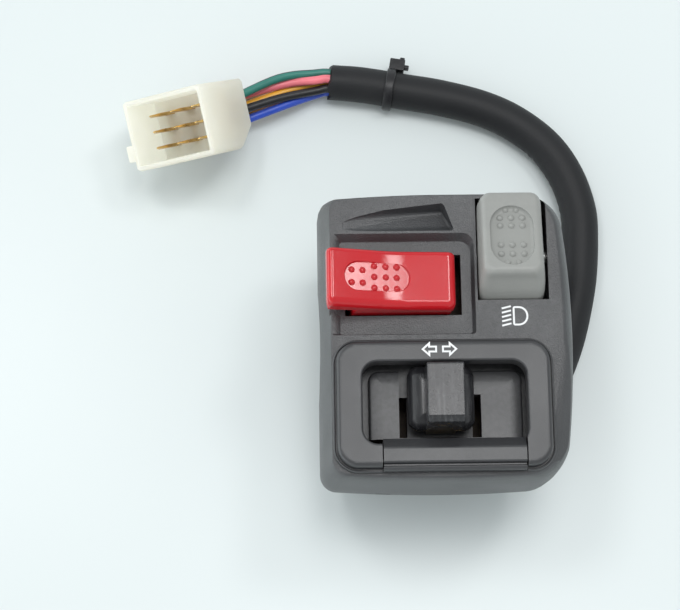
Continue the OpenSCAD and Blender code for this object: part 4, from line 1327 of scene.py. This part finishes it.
@dataclass
class Symbols:
    """The printed signs: a high-beam lamp and the double arrows."""

    thick: float = 0.06
    line: float = 0.42
    lamp_line: tuple[Point2, ...] = ((15.3, 0.1), (18.7, 0.1), (18.7, 4.5), (15.3, 4.5))
    lamp_rounding: tuple[float, ...] = (0.5, 2.1, 2.1, 0.5)
    lamp_z: float = 30.49
    beams: int = 5
    beam_half: Point2 = (1.05, 0.2)
    beam_at: Point2 = (13.9, 0.35)
    beam_pitch: float = 0.98
    beam_turn: float = 14.0
    arrow_rim: tuple[Point2, ...] = ((0.55, 0.75), (2.05, 0.75), (2.05, 1.75), (3.95, 0.0))
    arrow_gap: tuple[Point2, ...] = ((0.95, 0.35), (2.45, 0.35), (2.45, 0.84), (3.36, 0.0))
    arrow_thick: float = 0.14
    arrow_at: Point3 = (-1.35, -5.9, 34.0)

    def outlined(self, points: Sequence[Point2], rounding: Sequence[float], steps: int) -> Form:
        """Prints the outline of a shape as a thin raised line.

        Args:
            points: Its corners.
            rounding: Radius at each corner.
            steps: Segments in a round corner.

        Returns:
            The line as a form on the plane Z = 0.
        """
        form = Form()
        corners = [form.bm.verts.new((x, y, 0)) for x, y in points]
        form.bm.faces.new(corners)
        form.rounded(corners, rounding, steps)
        faces = list(form.bm.faces)
        bmesh.ops.inset_region(
            form.bm, faces=faces, thickness=self.line, use_boundary=True, use_even_offset=True
        )
        bmesh.ops.delete(form.bm, geom=faces, context="FACES")
        return form.raised(self.thick)

    def lamp(self, paint: Paint) -> bpy.types.Object:
        """The lamp outline with its five beams."""
        form = self.outlined(self.lamp_line, self.lamp_rounding, 8)
        long, wide = self.beam_half
        x, y = self.beam_at
        for k in range(self.beams):
            beam = Form().block((-long, -wide, 0), (long, wide, self.thick))
            form.join(beam.place(moved(x, y + self.beam_pitch * k, 0) @ turned(self.beam_turn, "Z")))
        form.place(moved(0, 0, self.lamp_z))
        return finished(form, "lamp_sign", paint.printed, Body.HOUSING)

    def arrows(self, paint: Paint) -> bpy.types.Object:
        """Two outlined arrows that point apart."""
        form = Form()
        for side in (1, -1):
            outline, room = (
                [(side * x, y) for x, y in half]
                + [(side * x, -y) for x, y in reversed(half[:-1])]
                for half in (self.arrow_rim, self.arrow_gap)
            )
            form.join(Form().prism(outline, self.arrow_thick).worked(Form().prism(room, 1.0)))
        form.place(moved(*self.arrow_at))
        return finished(form, "arrow_sign", paint.printed, Body.HOUSING)

    def build(self, paint: Paint) -> None:
        """Prints both signs."""
        self.lamp(paint)
        self.arrows(paint)


@dataclass
class Route:
    """A smooth line through given points."""

    points: Sequence[Point3]
    steps: int = 8
    line: list[Vector] = field(init=False)

    def __post_init__(self) -> None:
        """Works out the line."""
        pts = [Vector(p) for p in self.points]
        last = len(pts) - 1
        self.line = []
        for i in range(last):
            a, b, c, d = pts[max(i - 1, 0)], pts[i], pts[i + 1], pts[min(i + 2, last)]
            bend, twist = 2 * a - 5 * b + 4 * c - d, 3 * b - a - 3 * c + d
            for s in range(self.steps):
                t = s / self.steps
                self.line.append(0.5 * (2 * b + (c - a) * t + bend * t**2 + twist * t**3))
        self.line.append(pts[-1])

    def heading(self, i: int) -> Vector:
        """The direction of the line at one of its points."""
        last = len(self.line) - 1
        return (self.line[min(i + 1, last)] - self.line[max(i - 1, 0)]).normalized()

    def frames(self) -> list[Matrix]:
        """Frames along the line that don't twist, Z ahead."""
        side = Vector((0, 0, 1))
        made = []
        for i, point in enumerate(self.line):
            ahead = self.heading(i)
            side = (side - side.dot(ahead) * ahead).normalized()
            across = ahead.cross(side)
            turn = Matrix((side, across, ahead)).transposed().to_4x4()
            made.append(moved(*point) @ turn)
        return made

    def length(self) -> float:
        """Its length in metres."""
        return MM * sum((b - a).length for a, b in zip(self.line, self.line[1:]))


@dataclass
class Harness:
    """The sleeved cable, its tie, the loose wires and the connector."""

    sleeve_r: float = 4.5
    sleeve_bore: float = 3.75
    sleeve_points: tuple[Point3, ...] = (
        (19, -15.3, -14.2), (22.5, -10.8, -14.3), (26.3, -5.5, -15.4), (29.6, 0, -16),
        (32, 5.7, -16), (34, 12, -16), (35.6, 18.6, -16), (36.8, 25.8, -16),
        (37.4, 33.5, -16), (37.2, 41.3, -16), (34.7, 49.9, -16), (29.8, 57.8, -16),
        (22.5, 64, -16), (13.9, 68.3, -16), (3.9, 71.1, -16), (-6.1, 73, -16),
        (-16.1, 74.8, -16), (-23.6, 75.5, -16),
    )
    sleeve_sides: int = 32
    bend_reach: int = 4
    bend_least: float = 0.16
    bend_gain: float = 7.0
    wrinkle: float = 0.14
    wobble: float = 0.02
    tail_rings: int = 22
    tail_squeeze: float = 0.1
    ragged: float = 0.5
    bore_rings: range = range(0, 33, 8)
    tie_at: Point3 = (-8.8, 73.5, -16.0)
    tie_turn: float = 10.0
    tie_r: Point2 = (4.52, 5.35)
    tie_half: float = 1.1
    tie_edge: float = 0.25
    tie_head: Box = ((-1.9, 4.8, -0.9), (1.9, 7.8, 2.9))
    tie_way: Box = ((-1.1, 5.8, -3.0), (1.1, 6.9, 4.0))
    tie_tail: Box = ((-0.9, 5.9, -0.6), (0.9, 6.8, 4.0))
    tie_stub: Box = ((-1.1, 7.4, 1.5), (1.1, 8.6, 2.7))
    plug_at: Point3 = (-53.2, 64.27, -12.4)
    plug_turn: Point3 = (30.54, 18.63, -77.06)
    plug_half: Point2 = (8.5, 11.0)
    plug_len: float = 22.0
    plug_wall: float = 1.3
    plug_places: tuple[tuple[int, int], ...] = tuple((i, j) for i in (-1, 0, 1) for j in (-1, 0, 1))
    mouth: float = 13.0
    heel_x: float = 2.7
    heel_z: float = 8.0
    latch_x: Point2 = (2.0, 6.0)
    latch_long: float = 6.0
    pitch: Point2 = (3.9, 5.9)
    hole_pitch: float = 0.85
    hole_shift: float = 0.6
    blade: Point2 = (2.8, 0.8)
    blade_foot: float = 4.0
    blade_tip: float = 18.5
    taper: float = 2.4
    tip_half: float = 0.35
    tip_thin: float = 0.4
    wire_r: float = 1.05
    wires_mid: Point3 = (-36.5, 70.4, -15.2)
    wires_inside: Point3 = (-14.5, 74.6, -16.0)
    stripe_side: Point3 = (0.1, 0.85, 0.5)
    wires: tuple[tuple[str, Point2, Point2, Point2], ...] = (
        ("green", (-1, 1), (5.0, 2.6), (2.08, 1.2)),
        ("pink", (-1, 0), (3.8, 0.7), (0, 2.4)),
        ("orange", (0, 0), (2.1, -0.7), (0, 0)),
        ("black", (0, 1), (-0.3, 2.4), (-2.08, 1.2)),
        ("brown", (1, -1), (-0.3, -1.9), (0, -2.4)),
        ("blue", (1, 0), (-2.0, 0.6), (-2.08, -1.2)),
        ("white", (-1, -1), (3.9, -2.9), (2.08, -1.2)),
    )

    def plug_frame(self) -> Matrix:
        """The connector's own frame: Z out of its mouth."""
        x, y, z = self.plug_turn
        return moved(*self.plug_at) @ turned(z, "Z") @ turned(y, "Y") @ turned(x, "X")

    def hole(self, place: Point2) -> Point2:
        """Where a wire enters the back of the connector, given its column and row."""
        across = self.hole_pitch * self.pitch[0] * place[0] - self.hole_shift
        return across, self.pitch[1] * place[1]

    def sleeve_ring(self, form: Form, route: Route, i: int, place: Matrix, along: float) -> Edges:
        """Lays one ring of the sleeve, with its wrinkles and its ragged end.

        Args:
            form: The sleeve in the making.
            route: The line that it follows.
            i: The ring's number.
            place: The ring's frame.
            along: How far along the sleeve it lies.

        Returns:
            The edges of the ring.
        """
        last = len(route.line) - 1
        ring = form.circle(self.sleeve_r, place, self.sleeve_sides)
        ahead, behind = min(i + self.bend_reach, last), max(i - self.bend_reach, 0)
        turn = route.heading(ahead) - route.heading(behind)
        inner = turn.normalized() if turn.length > 1e-4 else Vector((0, 0, 1))
        strength = min(1.0, max(0.0, turn.length - self.bend_least) * self.bend_gain)
        tail = max(0.0, 1 - (last - i) / self.tail_rings)
        for v in {v for e in ring for v in e.verts}:
            out = (v.co - route.line[i]).normalized()
            facing = max(0.0, out.dot(inner) + 0.15)
            ripple = 0.5 + 0.5 * math.sin(along * 2.4 + 0.8 * out.z)
            wobble = self.wobble * math.sin(along * 0.4 + 2.0 * out.z + 3.0 * out.x)
            move = wobble - self.wrinkle * strength * facing * ripple - self.tail_squeeze * tail
            if out.z < -0.5:
                move = min(move, 0.0)
            v.co += out * move
            if i == last:
                v.co += route.heading(i) * self.ragged * math.sin(5.0 * out.z + 3.0 * out.y)
        return ring

    def sleeve(self, paint: Paint, tie: bpy.types.Object) -> bpy.types.Object:
        """Sweeps the sleeve: wrinkled inside its bend, open and ragged at its end.

        Args:
            paint: The finishes.
            tie: The tie round it; not used.

        Returns:
            The sleeve.
        """
        route = Route(self.sleeve_points)
        frames = route.frames()
        form = Form()
        rings = []
        along = 0.0
        for i, place in enumerate(frames):
            along += (route.line[i] - route.line[max(i - 1, 0)]).length
            rings.append(self.sleeve_ring(form, route, i, place, along))
        for back in self.bore_rings:
            place = frames[len(frames) - 1 - back]
            rings.append(form.circle(self.sleeve_bore, place, self.sleeve_sides))
        form.skin(rings)
        obj = finished(
            form, "sleeve", paint.vinyl, Body.HOUSING, ["cable_sleeve"]
        )
        return obj

    def tie(self, paint: Paint) -> bpy.types.Object:
        """Builds the tie: a band, its head and the cut tail."""
        (inner, outer), half, edge = self.tie_r, self.tie_half, self.tie_edge
        line = (
            (inner, -half), (outer - edge, -half), (outer, -half + edge),
            (outer, half - edge), (outer - edge, half), (inner, half),
        )
        form = Form().lathed(line)
        head = Form().block(*self.tie_head).worked(Form().block(*self.tie_way)).soften(0.25, 2)
        tail = Form().block(*self.tie_tail).soften(0.15, 2)
        stub = Form().block(*self.tie_stub).soften(0.2, 2)
        form.join(head, tail, stub)
        form.place(moved(*self.tie_at) @ turned(-self.tie_turn, "Z") @ turned(90, "Y"))
        return finished(
            form, "tie_strap", paint.strap, Body.HOUSING, ["cable_tie"]
        )

    def shell(self, paint: Paint) -> bpy.types.Object:
        """Builds the connector shell with its mouth, latch and bevelled heel."""
        (wide, high), long = self.plug_half, self.plug_len
        outer = Rect(-wide, wide, -high, high, (1.0,) * 4)
        line = (
            (0.7, 0.0), (0.2, 0.25), (0.0, 0.8),
            (0.0, long - 0.8), (0.15, long - 0.25), (0.5, long),
        )
        form = Form().drawn(outer, line, 5)
        deep = long - self.mouth
        mouth_line = ((0.2, deep), (0.0, deep + 0.3), (0.0, long - 0.6), (-0.4, long + 0.5))
        room = Form().drawn(outer.inset(self.plug_wall), mouth_line, 5)
        slope = (
            (self.heel_x, -1.0), (self.heel_x, 0.0), (wide, self.heel_z),
            (wide + 1, self.heel_z), (wide + 1, -1.0),
        )
        heel = Form().prism(slope, 2 * high + 4).place(turned(90, "X"))
        start, end = self.latch_x
        latch = Form().block(
            (start, -high - 1.6, long - self.latch_long), (end, -high + 0.4, long)
        )
        latch.soften(0.4, 3)
        holes = Form()
        for place in self.plug_places:
            holes.rod(self.wire_r + 0.06, 5.0, moved(*self.hole(place), -1.0), 20)
        form.worked(room, heel, holes).worked(latch, how=Cut.ADD).soften(0.18, 2, 50.0)
        form.place(self.plug_frame())
        return finished(
            form, "plug_shell", paint.nylon, Body.HOUSING, ["connector_shell"]
        )

    def blades(self, paint: Paint) -> bpy.types.Object:
        """Builds the brass blades with tapered tips."""
        form = Form()
        half, thick = self.blade[0] / 2, self.blade[1]
        foot, tip, neck = self.blade_foot, self.blade_tip, self.blade_tip - self.taper
        outline = (
            (-half, foot), (half, foot), (half, neck),
            (self.tip_half, tip), (-self.tip_half, tip), (-half, neck),
        )
        for i, j in self.plug_places:
            one = Form().prism(outline, thick)
            ends = [v for v in one.bm.verts if v.co.y > tip - 1]
            bmesh.ops.scale(one.bm, vec=(1, 1, self.tip_thin), verts=ends)
            one.soften(0.1, 2, 20.0)
            form.join(one.place(moved(i * self.pitch[0], j * self.pitch[1], 0) @ upended()))
        form.place(self.plug_frame())
        return finished(
            form, "plug_blades", paint.brass, Body.HOUSING, ["connector_pins"]
        )

    def wire_route(self, hole: Point2, midway: Point2, packed: Point2) -> Route:
        """The line of one loose wire.

        Args:
            hole: Its column and row in the connector.
            midway: Its offset midway.
            packed: Its offset in the sleeve.

        Returns:
            The line from inside the sleeve to inside the connector.
        """
        end = Vector(self.sleeve_points[-1])
        at = self.plug_frame()
        x, y = self.hole(hole)
        return Route(
            [
                Vector(self.wires_inside) + Vector((0, *packed)),
                end + Vector((0, *packed)),
                end + Vector((-3.6, 1.12 * packed[0] - 0.4, 1.08 * packed[1])),
                Vector(self.wires_mid) + Vector((0, *midway)),
                *(at @ Vector((x, y, z)) for z in (-1.2, 0, 4)),
            ]
        )

    def wire(
        self, paint: Paint, name: str, route: Route, plug: bpy.types.Object
    ) -> bpy.types.Object:
        """Sweeps one loose wire from the sleeve to its hole in the connector.

        Args:
            paint: The finishes.
            name: The wire's colour.
            route: Its line.
            plug: The connector shell; not used.

        Returns:
            The wire.
        """
        form = Form()
        side = form.bm.verts.layers.float.new("round_side")
        stripe = Vector(self.stripe_side).normalized()
        rings = []
        for place in route.frames():
            ring = form.circle(self.wire_r, place, 16)
            rings.append(ring)
            for v in {v for e in ring for v in e.verts}:
                v[side] = (v.co - place.translation).normalized().dot(stripe)
        form.skin(rings)
        node = f"wire_{name}"
        obj = finished(form, f"lead_{name}", paint.wires[name], Body.HOUSING, [node])
        return obj

    def build(self, paint: Paint) -> None:
        """Builds the sleeve, tie, connector and wires."""
        tie = self.tie(paint)
        self.sleeve(paint, tie)
        plug = self.shell(paint)
        self.blades(paint)
        for name, *places in self.wires:
            self.wire(paint, name, self.wire_route(*places), plug)


def dress_nodes(paint: Paint) -> None:
    """Gives the CAD nodes that still show their finishes; the slide under the knob gets a dark finish
    as painted shade.

    Args:
        paint: The finishes.
    """
    finishes = {
        paint.steel: (
            "clamp_screws", "floor_screws", "board_screws", "red_pin", "grey_pin", "horn_pin",
            "red_spring", "grey_spring", "knob_screw", "detent_ball", "detent_spring",
        ),
        paint.brass: (
            "contact_rivets", "bridge_posts", "red_bridge", "grey_bridge", "turn_wiper",
            "horn_leaf",
        ),
        paint.acetal: ("red_plunger", "grey_plunger"),
        # painted shade: the white slide under the knob's slot gets the dark strap finish, so the slot
        # reads as black shade
        paint.strap: ("turn_slider",),
        paint.board: ("contact_board",),
        paint.vinyl: ("inner_leads",),
    }
    for finish, names in finishes.items():
        for name in names:
            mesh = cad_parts[name].data
            mesh.materials.clear()
            mesh.materials.append(finish)
            LOG.info("node %s: %s", name, finish.name)


@dataclass
class Studio:
    """The pale glossy table, the softboxes and the camera."""

    floor_z: float = -20.5
    floor_half: float = 4.0
    floor_colour: Colour = (0.68, 0.73, 0.73)
    floor_shade: float = 0.985
    floor_rough: float = 0.3
    floor_level: float = 0.3
    world_colour: Colour = (0.94, 0.985, 1.0)
    seen_colour: Colour = (0.8, 0.86, 0.86)
    room_light: float = 0.72
    window_light: float = 3.4
    wall_light: float = 0.3
    softboxes: tuple[tuple[str, Point3, float, float], ...] = (
        ("top_softbox", (0.07, 0.08, 1.0), 0.3, 2.25),
        ("right_softbox", (0.302, 0.235, 0.801), 0.15, 1.0),
        ("left_softbox", (-0.27, 0.2, 0.85), 0.17, 1.2),
    )
    lens: float = 110.0
    camera_at: Point3 = (-31.1, -113.2, 473.5)
    camera_right: Point3 = (0.99978, -0.01502, 0.01467)
    camera_up: Point3 = (0.01072, 0.96598, 0.25840)
    camera_back: Point3 = (-0.01805, -0.25819, 0.96593)

    def floor(self) -> None:
        """Lays the table."""
        form = Form()
        level = moved(0, 0, self.floor_z * MM)
        bmesh.ops.create_grid(
            form.bm, x_segments=1, y_segments=1, size=self.floor_half, matrix=level
        )
        table = form.shown_as("table")
        material = bpy.data.materials.new("pale_table")
        material.use_nodes = True
        tree = Tree(material.node_tree)
        shade = tuple(self.floor_shade * c for c in self.floor_colour)
        shader = tree.add(
            "ShaderNodeBsdfPrincipled",
            Base_Color=tree.mixed(tree.noise(9.0, Detail=3.0), self.floor_colour, shade),
            Roughness=self.floor_rough,
            Specular_IOR_Level=self.floor_level,
        )
        tree.add("ShaderNodeOutputMaterial", Surface=shader.outputs[0])
        table.data.materials.append(material)

    def softbox(self, name: str, place: Point3, size: float, power: float) -> None:
        """Hangs one square softbox that faces the part.

        Args:
            name: Its name.
            place: Where it hangs, in metres.
            size: Side of the square, in metres.
            power: Its power in watts.
        """
        data = bpy.data.lights.new(name, "AREA")
        data.shape = "SQUARE"
        data.size = size
        data.energy = power
        lamp = bpy.data.objects.new(name, data)
        lamp.location = place
        lamp.rotation_mode = "QUATERNION"
        lamp.rotation_quaternion = Vector(place).to_track_quat("Z", "Y")
        bpy.context.scene.collection.objects.link(lamp)

    def world(self) -> None:
        """Fills the room with pale light, brightest low down at the left."""
        world = bpy.data.worlds.new("pale_room")
        world.use_nodes = True
        tree = Tree(world.node_tree)
        where = tree.add("ShaderNodeTexCoord").outputs["Generated"]
        parts = tree.add("ShaderNodeSeparateXYZ", Vector=where)
        low = tree.ranged(parts.outputs["Z"], (0.1, 0.5), (1.0, 0.0))
        side = (self.window_light, self.wall_light)
        aside = tree.ranged(parts.outputs["X"], (-0.9, -0.2), side)
        light = tree.sum_of("MULTIPLY_ADD", low, aside, self.room_light)
        lit = tree.add("ShaderNodeBackground", Color=(*self.world_colour, 1), Strength=light)
        seen = tree.add("ShaderNodeBackground", Color=(*self.seen_colour, 1), Strength=1.0)
        path = tree.add("ShaderNodeLightPath").outputs["Is Camera Ray"]
        both = tree.blended(path, lit.outputs[0], seen.outputs[0])
        tree.add("ShaderNodeOutputWorld", Surface=both)
        bpy.context.scene.world = world

    def camera(self) -> None:
        """Sets the camera at the photograph's angle."""
        data = bpy.data.cameras.new("camera")
        data.lens = self.lens
        data.sensor_width = 36.0
        data.clip_start = 0.01
        camera = bpy.data.objects.new("camera", data)
        turn = Matrix((self.camera_right, self.camera_up, self.camera_back)).transposed()
        camera.matrix_world = Matrix.Translation(Vector(self.camera_at) * MM) @ turn.to_4x4()
        bpy.context.scene.collection.objects.link(camera)
        bpy.context.scene.camera = camera

    def build(self) -> None:
        """Sets up the whole studio."""
        bpy.context.scene.view_settings.view_transform = "Standard"
        self.floor()
        self.world()
        for box in self.softboxes:
            self.softbox(*box)
        self.camera()


def main() -> None:
    """Builds the studio and the pieces in order."""
    logging.basicConfig(level=logging.INFO, format="%(message)s")
    Studio().build()
    paint = Paint()
    Harness().build(paint)
    housing = Housing()
    housing.front(paint)
    housing.rear(paint)
    Gland().build(paint)
    TurnSwitch().build(paint)
    RedRocker().build(paint)
    GreyRocker().build(paint)
    Symbols().build(paint)
    dress_nodes(paint)


if __name__ == "__main__":
    main()
